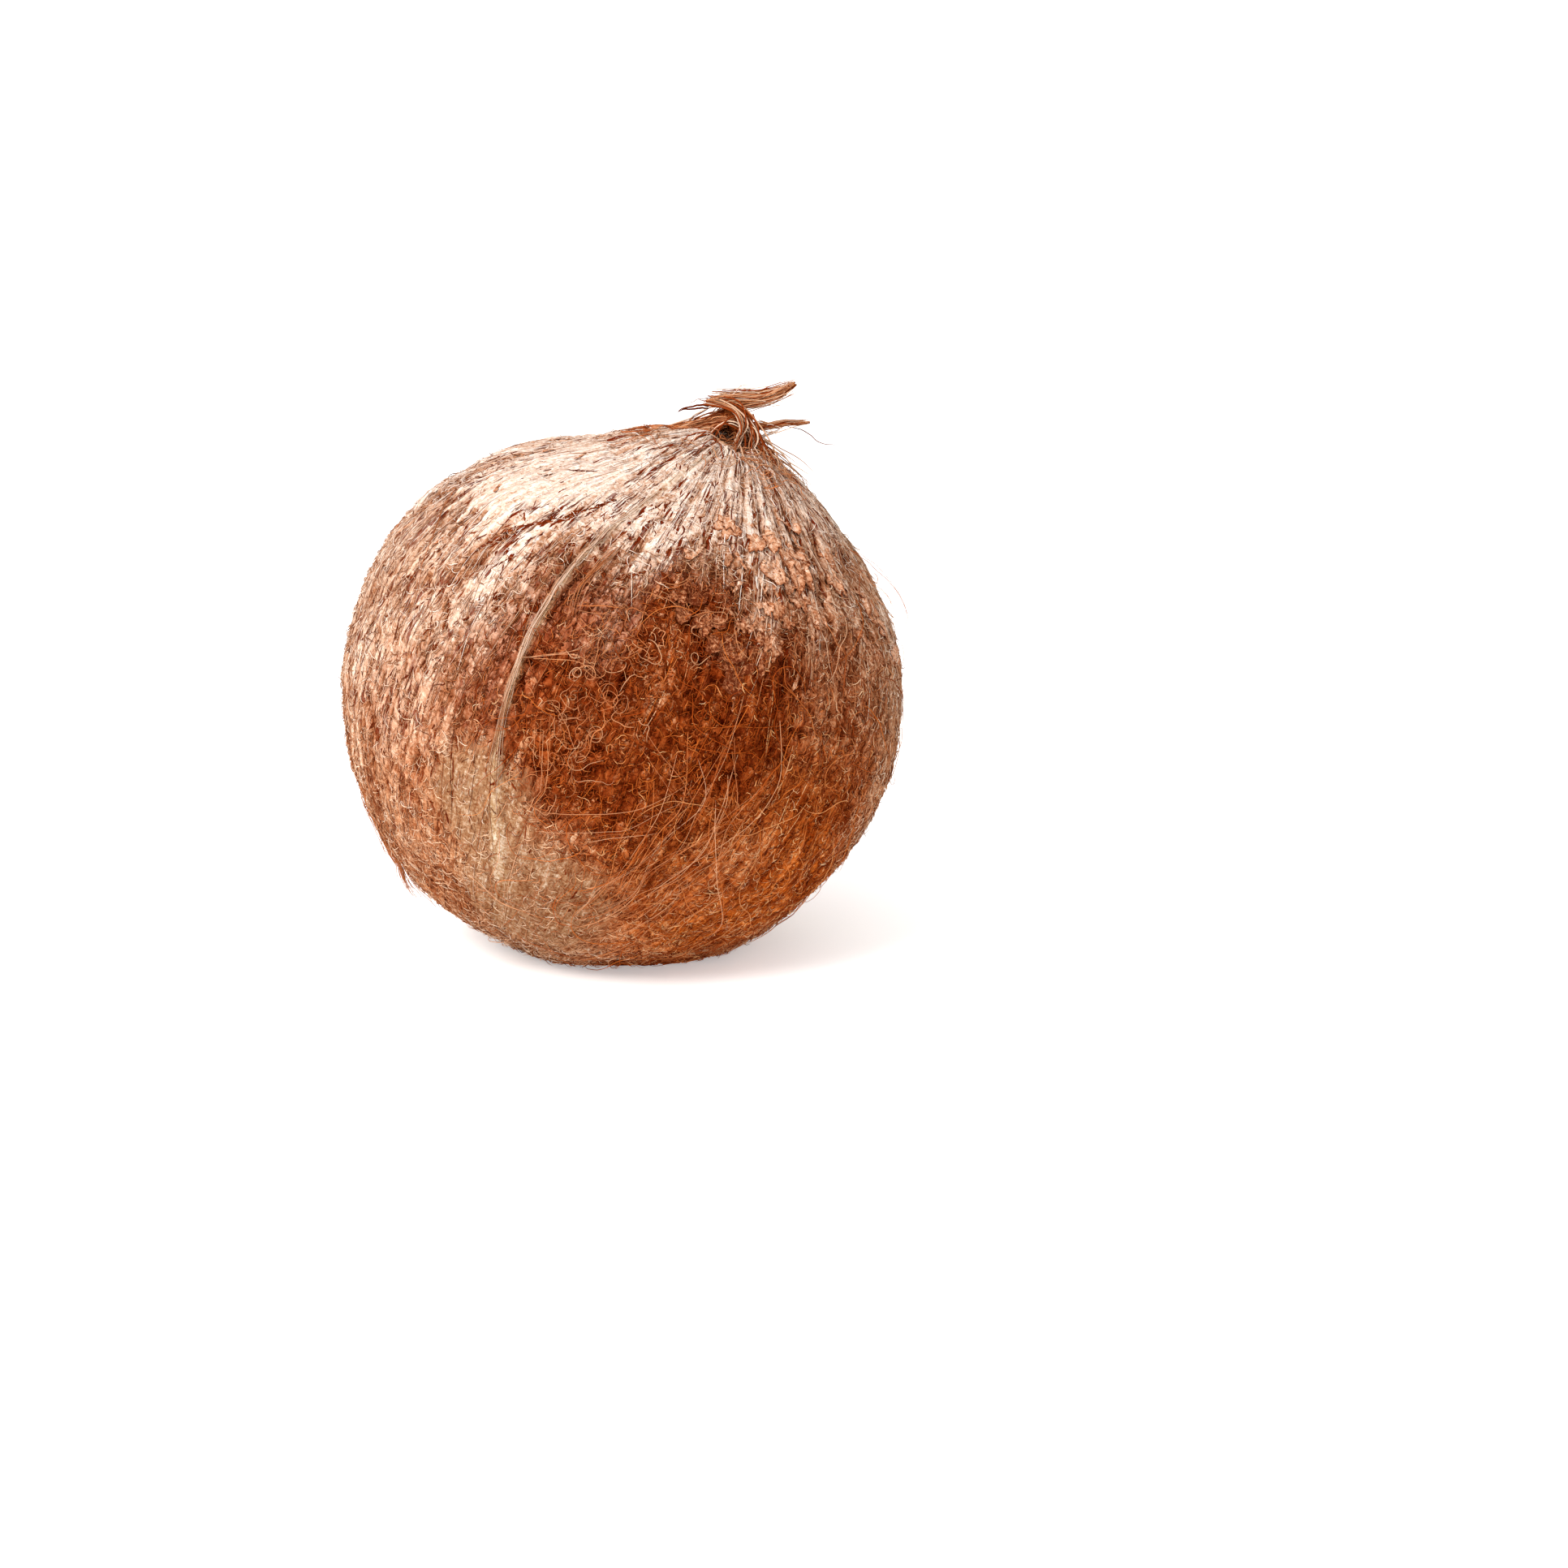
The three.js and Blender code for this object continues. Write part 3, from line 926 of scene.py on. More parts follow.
def model_tangles(name):
    """Knots of curled strands that have been rubbed up out of the felt."""
    generator = np.random.default_rng(SEED + 97)
    centres = np.concatenate([np.tile((a, b), (n, 1)) for a, b, n in TANGLES])
    count, steps = len(centres), 20
    part = np.linspace(0, 1, steps)
    off = generator.normal(0, 3.2, (count, 2))
    around = centres[:, 1] + off[:, 1] / np.sin(np.radians(centres[:, 0]))
    starts = nut.direction(centres[:, 0] + off[:, 0] * 1.4, around)
    lengths = generator.uniform(5, 15, count) * MM
    headings = generator.uniform(-np.pi, np.pi, count)
    steady = generator.normal(0, 0.2, (count, 1))
    bends = steady + smoothed_along(generator.normal(0, 0.55, (count, steps)), 2)
    bow = generator.uniform(0.3, 1.8, (count, 1)) * np.sin(np.pi * part) ** 0.7
    wave = smoothed_along(generator.normal(0, 0.7, (count, steps)), 2) * np.sin(np.pi * part)
    paths = walk_over_coat(starts, headings, lengths, bends, (0.15 + np.maximum(bow + wave, 0)) * MM)
    thick = generator.uniform(0.07, 0.13, (count, 1)) * MM
    shades = generator.uniform(0.3, 0.66, (count, 1)) * np.ones(steps)
    tints = generator.uniform(0.5, 0.9, count)
    return strand_mesh(name, paths, thick * taper(steps, 0.8, 0.3), shades, tints)


# ---------------------------------------------------------------- the crown's twist of torn husk


def crown_places(points):
    """Places given in millimetres to the low side, back and up from the foot of the crown."""
    foot = nut.middle + nut.axis * 58.5 * MM
    return foot + np.asarray(points, float) * MM


# Each bundle: its route from the crown's foot (low side, back, up, in mm), how many strands, how far
# they spread at the start and end in mm, their radii in mm, and their shades and tints
CROWN_BUNDLES = (
    (((-5.3, 0, 8.6), (-2.1, -2, 8.6), (1.1, -3.5, 7), (2.4, -4.5, 4.3), (1.8, -4.5, 1.6), (0.3, -4, -0.4)),
     13, (0.6, 0.6), (0.11, 0.22), (0.4, 0.85), (0.4, 0.8)),
    (((-4, 0, 9.2), (0.5, -2, 8.1), (4, -3, 4.9), (5.7, -3.5, 1.3), (7.6, -3, -2.8), (10.8, -2, -8.5)),
     9, (0.4, 1.1), (0.1, 0.2), (0.4, 0.8), (0.4, 0.8)),
    (((-4.6, -4.4, 0.8), (-3, -6, -1.2), (-0.6, -6.4, -1.4), (1.4, -5.2, 0.6), (2.8, -2.8, 3.4)),
     7, (0.4, 0.5), (0.12, 0.24), (0.3, 0.8), (0.4, 0.8)),
    (((-4.6, -3.5, 1.2), (-3.4, -3, 3.5), (-0.8, -2.5, 5.3), (1.5, -3, 5.2), (4, -3, 3.6)),
     9, (0.5, 0.7), (0.12, 0.24), (0.3, 0.8), (0.3, 0.7)),
    (((4.2, -2, 5), (5.2, -3, 2), (4.3, -3.6, -1.4), (4.2, -4, -4.6), (3.6, -4.4, -7.6)),
     9, (0.9, 1.0), (0.12, 0.22), (0.35, 0.8), (0.4, 0.8)),
    (((3.4, -3, 4), (4.5, -4, 1), (2.8, -4.6, -2.4), (1, -4.9, -4.4)),
     8, (0.8, 0.9), (0.12, 0.22), (0.35, 0.8), (0.4, 0.8)),
    (((4.2, -1, 3), (5.8, -2, -0.6), (7.4, -2.4, -2.6), (9, -2.6, -4.2), (11, -2.6, -6)),
     9, (0.7, 1.3), (0.1, 0.2), (0.3, 0.75), (0.4, 0.8)),
    (((3.6, 1, 4), (6, 0, -0.4), (9, -1, -3.8), (12, -1.2, -6.2), (15, -1.4, -9)),
     10, (0.8, 1.6), (0.1, 0.2), (0.3, 0.75), (0.4, 0.8)),
    (((3, 2, 4.6), (5, 3, 0.4), (8, 3.6, -2.8), (11, 4, -5.4), (14.4, 4.4, -9)),
     10, (0.8, 1.8), (0.1, 0.2), (0.3, 0.75), (0.4, 0.8)),
    (((-1, 3, 7), (0.6, 4.6, 4), (2, 6.6, 0), (3.4, 9.4, -4), (4.6, 13, -8.4)),
     12, (1.2, 2.4), (0.1, 0.2), (0.25, 0.75), (0.3, 0.8)),
    (((-2, 3, 6.6), (-5, 5, 3.6), (-8.6, 7, 1), (-13, 9.4, -1.4)),
     12, (1.2, 2.4), (0.12, 0.24), (0.3, 0.8), (0.3, 0.7)),
    (((-3.6, -3, 0.8), (-6, -5, -0.8), (-9, -8, -2.4), (-12, -11.6, -4.8)),
     8, (0.7, 1.8), (0.12, 0.22), (0.4, 0.9), (0.1, 0.5)),
    (((-0.6, -6, -1.4), (-1.2, -7.4, -2.8), (-2, -9.4, -5.6), (-2.4, -12.6, -9)),
     8, (1.0, 2.0), (0.12, 0.22), (0.4, 0.9), (0.1, 0.5)),
    (((2.4, -5.4, -1), (3.4, -7, -3.4), (4.6, -9.4, -7.6), (5.4, -12.2, -11.6)),
     8, (1.0, 2.0), (0.12, 0.22), (0.4, 0.9), (0.1, 0.5)),
    (((-5, 0, 7.6), (-7.6, -0.6, 7.7), (-11.4, -1, 6.9)),
     2, (0.3, 0.2), (0.14, 0.24), (0.1, 0.25), (0.3, 0.5)),
    (((-3.4, 0.4, 9.4), (-6, 0, 9.8), (-9.4, -0.4, 9.2)), 2, (0.2, 0.3), (0.07, 0.1), (0.3, 0.5), (0, 0.2)),
    (((12, 1.4, 3.4), (15.6, 1.2, 2.2), (18.4, 1, -0.2), (22, 0.8, -0.5)),
     1, (0.1, 0.1), (0.09, 0.11), (0.2, 0.4), (0, 0.2)),
    (((6, 1, 0.8), (8.4, 0.6, 1.6), (10.2, 0.4, 2.4)), 5, (0.4, 0.5), (0.1, 0.18), (0.5, 0.9), (0, 0.3)),
    (((-4, -0.9, 9), (0, -1.1, 9.2), (5, -1.7, 9.4), (9.4, -2, 10.8), (12.6, -1.8, 12.4)),
     40, (0.95, 0.6), (0.06, 0.13), (0.3, 0.7), (0.6, 0.95)),
    (((-3, 0, 9.5), (1.6, -0.3, 9.9), (6, -0.9, 10.2), (9.6, -1.2, 11.3), (12.8, -1.2, 12.9)),
     26, (0.7, 0.4), (0.06, 0.12), (0.45, 0.85), (0.3, 0.7)),
    (((0, -0.6, 10.2), (1.6, -0.8, 11.2), (3.4, -1.2, 11.9)),
     7, (1.2, 0.9), (0.05, 0.1), (0.5, 0.95), (0.1, 0.5)),
    (((5, -1, 10), (8, -1.4, 9.6), (10.6, -2, 9.2)), 8, (0.8, 0.8), (0.05, 0.1), (0.4, 0.8), (0.3, 0.7)),
    (((5, -1.3, 3.8), (8.4, -1.1, 3.6), (12, -0.7, 4.2), (16, -0.2, 4.4)),
     16, (0.5, 0.3), (0.06, 0.12), (0.2, 0.7), (0.5, 0.9)),
    (((6, -1, 3.8), (9, -0.8, 2.9), (11, -0.6, 2.6)), 4, (0.4, 0.5), (0.05, 0.1), (0.3, 0.8), (0.3, 0.7)),
)


def model_crown_strands(name):
    """The strands that arch over the crown, twist into its knot and root in the coat around it."""
    generator = np.random.default_rng(SEED + 110)
    steps = 18
    part = np.linspace(0, 1, steps)
    paths, radii, shades, tints = [], [], [], []
    for route, count, spread, thick, shade, tint in CROWN_BUNDLES:
        controls = np.repeat(crown_places(route)[None], count, axis=0)
        loose = np.linspace(spread[0], spread[1], len(route))[None, :, None] * MM
        controls = controls + generator.normal(0, 1, (count, 1, 3)) * loose
        controls = controls + generator.normal(0, 0.35, controls.shape) * loose
        paths.append(through_points(controls, steps))
        radii.append(generator.uniform(*thick, count) * MM)
        # painted light and shade: about two strands in three are painted paler as lit, the rest dark deep
        # orange as in shade
        lit = generator.random(count) < 0.66
        shades.append(np.where(lit, generator.uniform(*shade, count) + 0.14, 0.5 * shade[0]))
        tints.append(np.where(lit, generator.uniform(*tint, count) - 0.1, 0.9))
    return crown_mesh(name, generator, paths, radii, shades, tints, part)


def crown_mesh(name, generator, paths, radii, shades, tints, part):
    """Joins strands of the crown, kept from sinking more than a little into the coat."""
    paths, radii = np.concatenate(paths), np.concatenate(radii)
    paths = paths + smoothed_along(generator.normal(0, 0.16 * MM, paths.shape), 2)
    arms = paths - nut.middle
    distance = np.linalg.norm(arms, axis=-1)
    reach = coat_surface.at(unit(arms).reshape(-1, 3)).reshape(distance.shape)
    raised = np.maximum(distance, reach + 0.1 * MM)
    rooted = distance[:, -1] < reach[:, -1] + 0.8 * MM
    raised[rooted, -1] = reach[rooted, -1]
    paths = nut.middle + arms / distance[..., None] * raised[..., None]
    profile = taper(paths.shape[1], 0.7, 0.3)
    shade = np.concatenate(shades)[:, None] * np.interp(part, [0, 0.5, 1], [0.9, 1, 1])
    return strand_mesh(name, paths, radii[:, None] * profile, shade, np.concatenate(tints), sides=4)


def model_crown_sheet(name, count):
    """A torn sheet of orange fibre that rises from the high shoulder into the knot."""
    generator = np.random.default_rng(SEED + 120)
    steps = 20
    top = crown_places(
        ((-24, 1, 0.6), (-17, 0.6, 2.2), (-10.5, 0, 3.9), (-5.3, 0, 5.7), (-0.8, 0, 7.1), (2.4, -1, 6))
    )
    low = crown_places(
        ((-24, -1, 0), (-17, -1.6, 0.5), (-11, -2, 1), (-6.6, -2.5, 1.6), (-4, -3, 2.6), (-1.6, -3, 4.2))
    )
    share = generator.random((count, 1, 1))
    controls = top * share + low * (1 - share)
    controls = controls + generator.normal(0, 0.35 * MM, controls.shape)
    paths = through_points(controls, steps)
    part = np.linspace(0, 1, steps)
    first = generator.uniform(0, 0.4, (count, 1))
    stretch = (first + (1 - first) * part) * (steps - 1)
    low_index = np.minimum(stretch.astype(int), steps - 2)
    blend = (stretch - low_index)[..., None]
    rows = np.arange(count)[:, None]
    paths = paths[rows, low_index] * (1 - blend) + paths[rows, low_index + 1] * blend
    radii = generator.uniform(0.08, 0.18, count) * MM
    # painted light and shade: about half the strands are painted pale as lit, the rest dark as in shade
    lit = generator.random(count) < 0.5
    shades = np.where(lit, generator.uniform(0.35, 0.75, count), generator.uniform(0, 0.25, count))
    tints = generator.uniform(0.55, 0.95, count)
    return crown_mesh(name, generator, [paths], [radii], [shades], [tints], part)


def model_knot_core(name):
    """The dark crumpled husk inside the twist, with the hollow that the strands arch over, painted darker
    still in the hollow as shade.
    """
    deselect_all()
    middle = crown_places((0.2, 0.8, 3.4))
    bpy.ops.mesh.primitive_uv_sphere_add(segments=64, ring_count=40, radius=1, location=(0, 0, 0))
    core = bpy.context.object
    core.name = name
    core.data.name = name
    arms = vertex_places(core.data)
    shape = arms * (4.6, 3.8, 4.4)
    hollow = np.exp(-(((arms[:, 0] + 0.62) / 0.6) ** 2) - ((arms[:, 2] + 0.34) / 0.62) ** 2)
    hollow = hollow * (arms[:, 1] < 0)
    shape[:, 1] += 4.8 * hollow
    rough = fractal_noise(arms, 0.5, 3, 131) * 0.6 + 0.35 * lattice_noise(arms * (9, 2, 2), 1, 133)
    shape = shape * (1 + 0.14 * rough)[:, None]
    core.data.vertices.foreach_set("co", (middle + shape * MM).ravel())
    core.data.update()
    bpy.ops.object.shade_smooth()
    # painted shade: the core is darker in its hollow
    write_attribute(core.data, "shade", (0.3 + 0.25 * rough - 0.4 * hollow).clip(0, 0.9))
    return core


def model_splinter(name, route, wide, thick, seed):
    """A stiff blade of torn husk along a route, with long grain and a ragged blunt end."""
    deselect_all()
    steps, sides = 60, 36
    bpy.ops.mesh.primitive_cylinder_add(vertices=sides, radius=1, depth=1, end_fill_type="TRIFAN")
    blade = bpy.context.object
    blade.name = name
    blade.data.name = name
    shell = bmesh.new()
    shell.from_mesh(blade.data)
    upright = [e for e in shell.edges if abs(e.verts[0].co.z - e.verts[1].co.z) > 0.5]
    bmesh.ops.subdivide_edges(shell, edges=upright, cuts=steps - 1, use_grid_fill=False)
    shell.to_mesh(blade.data)
    shell.free()
    flat = vertex_places(blade.data)
    part = (flat[:, 2] + 0.5).clip(0, 1)
    angle = np.arctan2(flat[:, 1], flat[:, 0])
    radius = np.hypot(flat[:, 0], flat[:, 1])
    line = through_points(crown_places(route)[None], 200)[0]
    torn = 0.05 * lattice_noise(np.stack([4 * np.cos(angle), 4 * np.sin(angle), angle * 0], 1), 1, seed)
    along = (part * (1 + torn)).clip(0, 1)
    index = np.minimum((along * 199).astype(int), 198)
    share = (along * 199 - index)[:, None]
    centre = line[index] * (1 - share) + line[index + 1] * share
    ahead = unit(np.gradient(line, axis=0))[index]
    down = unit(np.cross(np.cross(ahead, (0, 0, -1.0)), ahead))
    side = np.cross(down, ahead)
    grain_at = np.stack([3.4 * np.cos(angle), 3.4 * np.sin(angle), part * 2.2], 1)
    fine_at = np.stack([9 * np.cos(angle), 9 * np.sin(angle), part * 5], 1)
    grain = 0.5 * lattice_noise(grain_at, 1, seed + 1) + 0.35 * lattice_noise(fine_at, 1, seed + 2)
    width = np.interp(part, *wide) * MM * (1 + 0.3 * grain)
    depth = np.interp(part, *thick) * MM * (1 + 0.45 * grain)
    corner = np.abs(np.cos(angle)) ** 0.8 * np.sign(np.cos(angle))
    edge = np.abs(np.sin(angle)) ** 1.2 * np.sign(np.sin(angle))
    places = centre + down * (radius * width * corner)[:, None] + side * (radius * depth * edge)[:, None]
    places = places + fractal_noise(places, 2.2 * MM, 2, seed + 3)[:, None] * side * 0.25 * MM
    blade.data.vertices.foreach_set("co", places.ravel())
    blade.data.update()
    tidy = bmesh.new()
    tidy.from_mesh(blade.data)
    bmesh.ops.recalc_face_normals(tidy, faces=tidy.faces)
    tidy.to_mesh(blade.data)
    tidy.free()
    bpy.ops.object.shade_smooth()
    # painted shade: the blade is darker on its lower side
    underside_shade = (corner * 0.5 + 0.5) * 0.4
    write_attribute(blade.data, "shade", (0.62 - underside_shade + 0.5 * grain).clip(0, 0.95))
    return blade


# ---------------------------------------------------------------- materials


def add_node(tree, kind, inputs=None, stops=(), **settings):
    """Adds a node, sets it up, gives inputs their values or links, and fills a ramp's colour stops."""
    node = tree.nodes.new(kind)
    for name, value in settings.items():
        setattr(node, name, value)
    for name, value in (inputs or {}).items():
        if isinstance(value, bpy.types.NodeSocket):
            tree.links.new(value, node.inputs[name])
        else:
            node.inputs[name].default_value = value
    for number, (position, colour) in enumerate(stops):
        elements = node.color_ramp.elements
        element = elements[number] if number < 2 else elements.new(position)
        element.position = position
        element.color = colour
    return node


def tone_stops(colour):
    """A ramp for a fibre colour: two warmer shadows, the colour itself and its lit edges."""
    colour = np.array(colour[:3])
    deep, shaded, lit = colour * (0.16, 0.05, 0.02), colour * (0.56, 0.35, 0.23), colour**0.42
    tones = ((0.0, deep), (0.28, shaded), (0.6, colour), (0.95, lit))
    return [(position, [*tone, 1.0]) for position, tone in tones]


def new_material(name, roughness, specular):
    material = bpy.data.materials.new(name)
    material.use_nodes = True
    tree = material.node_tree
    surface = tree.nodes["Principled BSDF"]
    surface.inputs["Roughness"].default_value = roughness
    surface.inputs["Specular IOR Level"].default_value = specular
    return material, tree, surface


def per_mm(millimetres):
    """A noise scale that gives one wave in so many millimetres."""
    return 1 / (millimetres * MM)


def matted_coir(colours):
    """Matted coir, the nut's dry outer fibre: no gloss, fine grit and long grain, short red-brown slits
    and furrows where strands part, painted in the deep slit colour as shade, and rounded lumps whose
    creases are painted darker as shade in the fuzzy parts."""
    material, tree, surface = new_material("matted_coir", roughness=1.0, specular=0.0)
    place = add_node(tree, "ShaderNodeTexCoord").outputs["Object"]
    told = {}
    for name in ("relief", "bleached", "ember", "dark", "seam", "pith", "slit", "lump"):
        told[name] = add_node(tree, "ShaderNodeAttribute", attribute_name=name).outputs["Fac"]
    comb = add_node(tree, "ShaderNodeAttribute", attribute_name="comb").outputs["Vector"]
    stretched = {}
    for name, squash in (("slit", 0.26), ("furrow", 0.07), ("grain", 0.16), ("lump", 0.6)):
        scale = (1.0, 1.0, squash)
        stretched[name] = add_node(
            tree, "ShaderNodeMapping", {"Vector": comb, "Scale": scale}
        ).outputs["Vector"]
    grit = add_node(
        tree,
        "ShaderNodeTexNoise",
        {"Vector": place, "Scale": per_mm(0.8), "Detail": 4.0, "Distortion": 0.8},
    ).outputs["Fac"]
    grain = add_node(
        tree,
        "ShaderNodeTexNoise",
        {"Vector": stretched["grain"], "Scale": per_mm(0.6), "Detail": 3.0, "Distortion": 0.5},
    ).outputs["Fac"]
    # slits: the peaks of a noise stretched along the grain, painted in the deep slit colour as shade
    slit_noise = add_node(
        tree,
        "ShaderNodeTexNoise",
        {"Vector": stretched["slit"], "Scale": per_mm(1.5), "Detail": 2.0, "Distortion": 0.8},
    ).outputs["Fac"]
    dash = add_node(
        tree, "ShaderNodeMapRange", {"Value": slit_noise, "From Min": 0.61, "From Max": 0.65}
    ).outputs["Result"]
    # furrows: where a longer noise crosses its middle, broken up by a coarse one; painted in the deep slit
    # colour as shade
    furrow_noise = add_node(
        tree,
        "ShaderNodeTexNoise",
        {"Vector": stretched["furrow"], "Scale": per_mm(2.6), "Detail": 2.0, "Distortion": 0.4},
    ).outputs["Fac"]
    middle = add_node(tree, "ShaderNodeMath", {0: furrow_noise, 1: 0.5}, operation="SUBTRACT")
    away = add_node(tree, "ShaderNodeMath", {0: middle.outputs[0]}, operation="ABSOLUTE")
    line = add_node(
        tree,
        "ShaderNodeMapRange",
        {"Value": away.outputs[0], "From Min": 0.008, "From Max": 0.03, "To Min": 1.0, "To Max": 0.0},
    ).outputs["Result"]
    broken_noise = add_node(
        tree, "ShaderNodeTexNoise", {"Vector": place, "Scale": per_mm(7), "Detail": 2.0}
    ).outputs["Fac"]
    broken = add_node(
        tree, "ShaderNodeMapRange", {"Value": broken_noise, "From Min": 0.44, "From Max": 0.58}
    ).outputs["Result"]
    furrow = add_node(tree, "ShaderNodeMath", {0: line, 1: broken}, operation="MULTIPLY")
    parted = add_node(
        tree, "ShaderNodeMath", {0: dash, 1: furrow.outputs[0]}, operation="MAXIMUM"
    ).outputs[0]
    slit = add_node(
        tree, "ShaderNodeMath", {0: parted, 1: told["slit"]}, operation="MULTIPLY"
    ).outputs[0]
    # creases: the edges between rounded lumps, painted darker as shade
    bent = add_node(
        tree, "ShaderNodeVectorMath", {0: grit, "Scale": 2.2 * MM}, operation="SCALE"
    ).outputs[0]
    lump_place = add_node(
        tree, "ShaderNodeVectorMath", {0: stretched["lump"], 1: bent}, operation="ADD"
    ).outputs[0]
    edge = add_node(
        tree,
        "ShaderNodeTexVoronoi",
        {"Vector": lump_place, "Scale": per_mm(2.4)},
        feature="DISTANCE_TO_EDGE",
    ).outputs["Distance"]
    crease_line = add_node(
        tree,
        "ShaderNodeMapRange",
        {"Value": edge, "From Min": 0.0, "From Max": 0.16, "To Min": 1.0, "To Max": 0.0},
    ).outputs["Result"]
    crease = add_node(
        tree, "ShaderNodeMath", {0: crease_line, 1: told["lump"]}, operation="MULTIPLY"
    ).outputs[0]
    # tone: relief, with its painted shade, grit, grain and furrows, less the painted shade of the creases
    tone = told["relief"]
    shares = ((grit, 1.2, -0.6), (grain, 0.5, -0.25), (furrow_noise, 0.6, -0.3), (crease, -0.35, 0.0))
    for source, strength, offset in shares:
        part = add_node(
            tree, "ShaderNodeMath", {0: source, 1: strength, 2: offset}, operation="MULTIPLY_ADD"
        )
        tone = add_node(tree, "ShaderNodeMath", {0: tone, 1: part.outputs[0]}, operation="ADD")
        tone = tone.outputs[0]
    colour = None
    for name in ("felt", "ember", "dark", "bleached", "pith", "seam"):
        ramp = add_node(
            tree, "ShaderNodeValToRGB", {"Fac": tone}, stops=tone_stops(getattr(colours, name))
        ).outputs["Color"]
        if colour is None:
            colour = ramp
        else:
            colour = add_node(
                tree, "ShaderNodeMix", {0: told[name], 6: colour, 7: ramp}, data_type="RGBA"
            ).outputs[2]
    # painted shade: slits and furrows take the deep slit colour
    deep = [*colours.slit, 1.0]
    colour = add_node(
        tree, "ShaderNodeMix", {0: slit, 6: colour, 7: deep}, data_type="RGBA"
    ).outputs[2]
    tree.links.new(colour, surface.inputs["Base Color"])
    normal = None
    bumps = ((grit, 0.8, 0.5), (grain, 0.7, 0.35), (crease, -0.9, 0.7), (slit, -1.0, 0.5))
    for height, strength, depth in bumps:
        inputs = {"Height": height, "Strength": abs(strength), "Distance": depth * MM}
        if normal:
            inputs["Normal"] = normal
        normal = add_node(tree, "ShaderNodeBump", inputs, invert=strength < 0).outputs["Normal"]
    tree.links.new(normal, surface.inputs["Normal"])
    return material


def loose_coir(colours):
    """Single coir fibres: hard, dull, slightly waxy threads, straw to red-brown."""
    material, tree, surface = new_material("loose_coir", roughness=0.85, specular=0.02)
    spread = add_node(tree, "ShaderNodeUVMap", uv_map="OFBake").outputs["UV"]
    parts = add_node(tree, "ShaderNodeSeparateXYZ", {"Vector": spread})
    shade, tint = parts.outputs["X"], parts.outputs["Y"]
    low = add_node(tree, "ShaderNodeMapRange", {"Value": tint, "From Max": 0.5}).outputs["Result"]
    high = add_node(tree, "ShaderNodeMapRange", {"Value": tint, "From Min": 0.5}).outputs["Result"]
    colour = None
    for name, share in (("bleached", None), ("felt", low), ("ember", high)):
        ramp = add_node(
            tree, "ShaderNodeValToRGB", {"Fac": shade}, stops=tone_stops(getattr(colours, name))
        ).outputs["Color"]
        if colour is None:
            colour = ramp
        else:
            colour = add_node(
                tree, "ShaderNodeMix", {0: share, 6: colour, 7: ramp}, data_type="RGBA"
            ).outputs[2]
    tree.links.new(colour, surface.inputs["Base Color"])
    return material


def torn_husk(name, colour):
    """Torn dry husk: stiff, flat, long-grained and crusted, pale where weathered, and painted darker as
    shade below and in hollows, as each piece's shade attribute gives.
    """
    material, tree, surface = new_material(name, roughness=0.95, specular=0.04)
    place = add_node(tree, "ShaderNodeTexCoord").outputs["Object"]
    told = add_node(tree, "ShaderNodeAttribute", attribute_name="shade").outputs["Fac"]
    crust = add_node(
        tree,
        "ShaderNodeTexNoise",
        {"Vector": place, "Scale": per_mm(0.7), "Detail": 4.0, "Distortion": 1.0},
    ).outputs["Fac"]
    part = add_node(
        tree, "ShaderNodeMath", {0: crust, 1: 1.7, 2: -0.88}, operation="MULTIPLY_ADD"
    ).outputs[0]
    tone = add_node(tree, "ShaderNodeMath", {0: told, 1: part}, operation="ADD").outputs[0]
    colour = add_node(
        tree, "ShaderNodeValToRGB", {"Fac": tone}, stops=tone_stops(colour)
    ).outputs["Color"]
    tree.links.new(colour, surface.inputs["Base Color"])
    bump = add_node(
        tree, "ShaderNodeBump", {"Height": crust, "Strength": 0.9, "Distance": 0.5 * MM}
    ).outputs["Normal"]
    tree.links.new(bump, surface.inputs["Normal"])
    return material


# ---------------------------------------------------------------- stage


def make_floor():
    deselect_all()
    bpy.ops.mesh.primitive_circle_add(vertices=96, radius=9.0, fill_type="NGON")
    floor = bpy.context.object
    floor.name = "floor"
    material, _, surface = new_material("white_paper", roughness=0.8, specular=0.2)
    surface.inputs["Base Color"].default_value = linear("F7F6F4")
    surface.inputs["Emission Color"].default_value = linear("FFFFFF")
    surface.inputs["Emission Strength"].default_value = 0.36
    floor.data.materials.append(material)


def add_area_light(name, place, aim, size, watts, colour):
    deselect_all()
    bpy.ops.object.light_add(type="AREA", location=place)
    light = bpy.context.object
    light.name = name
    light.data.size = size
    light.data.energy = watts
    light.data.color = linear(colour)[:3]
    light.rotation_euler = (Vector(aim) - Vector(place)).to_track_quat("-Z", "Y").to_euler()


def make_camera():
    """The camera stands in front and a little above, with the nut left of the picture's middle."""
    tilt = math.radians(15)
    ahead = Vector((0, math.cos(tilt), -math.sin(tilt)))
    up = Vector((0, math.sin(tilt), math.cos(tilt)))
    aim = Vector(nut.middle) + Vector((34.7 * MM, 0, 0)) - up * 20.2 * MM
    deselect_all()
    bpy.ops.object.camera_add(location=aim - ahead * 0.936)
    camera = bpy.context.object
    camera.rotation_euler = ahead.to_track_quat("-Z", "Y").to_euler()
    camera.data.lens = 100
    camera.data.sensor_width = 36
    bpy.context.scene.camera = camera


def make_world():
    world = bpy.data.worlds.new("white_studio")
    world.use_nodes = True
    world.node_tree.nodes["Background"].inputs["Color"].default_value = linear("FFFFFF")
    world.node_tree.nodes["Background"].inputs["Strength"].default_value = 1.0
    bpy.context.scene.world = world
    bpy.context.scene.view_settings.view_transform = "Standard"


# ---------------------------------------------------------------- the add-on


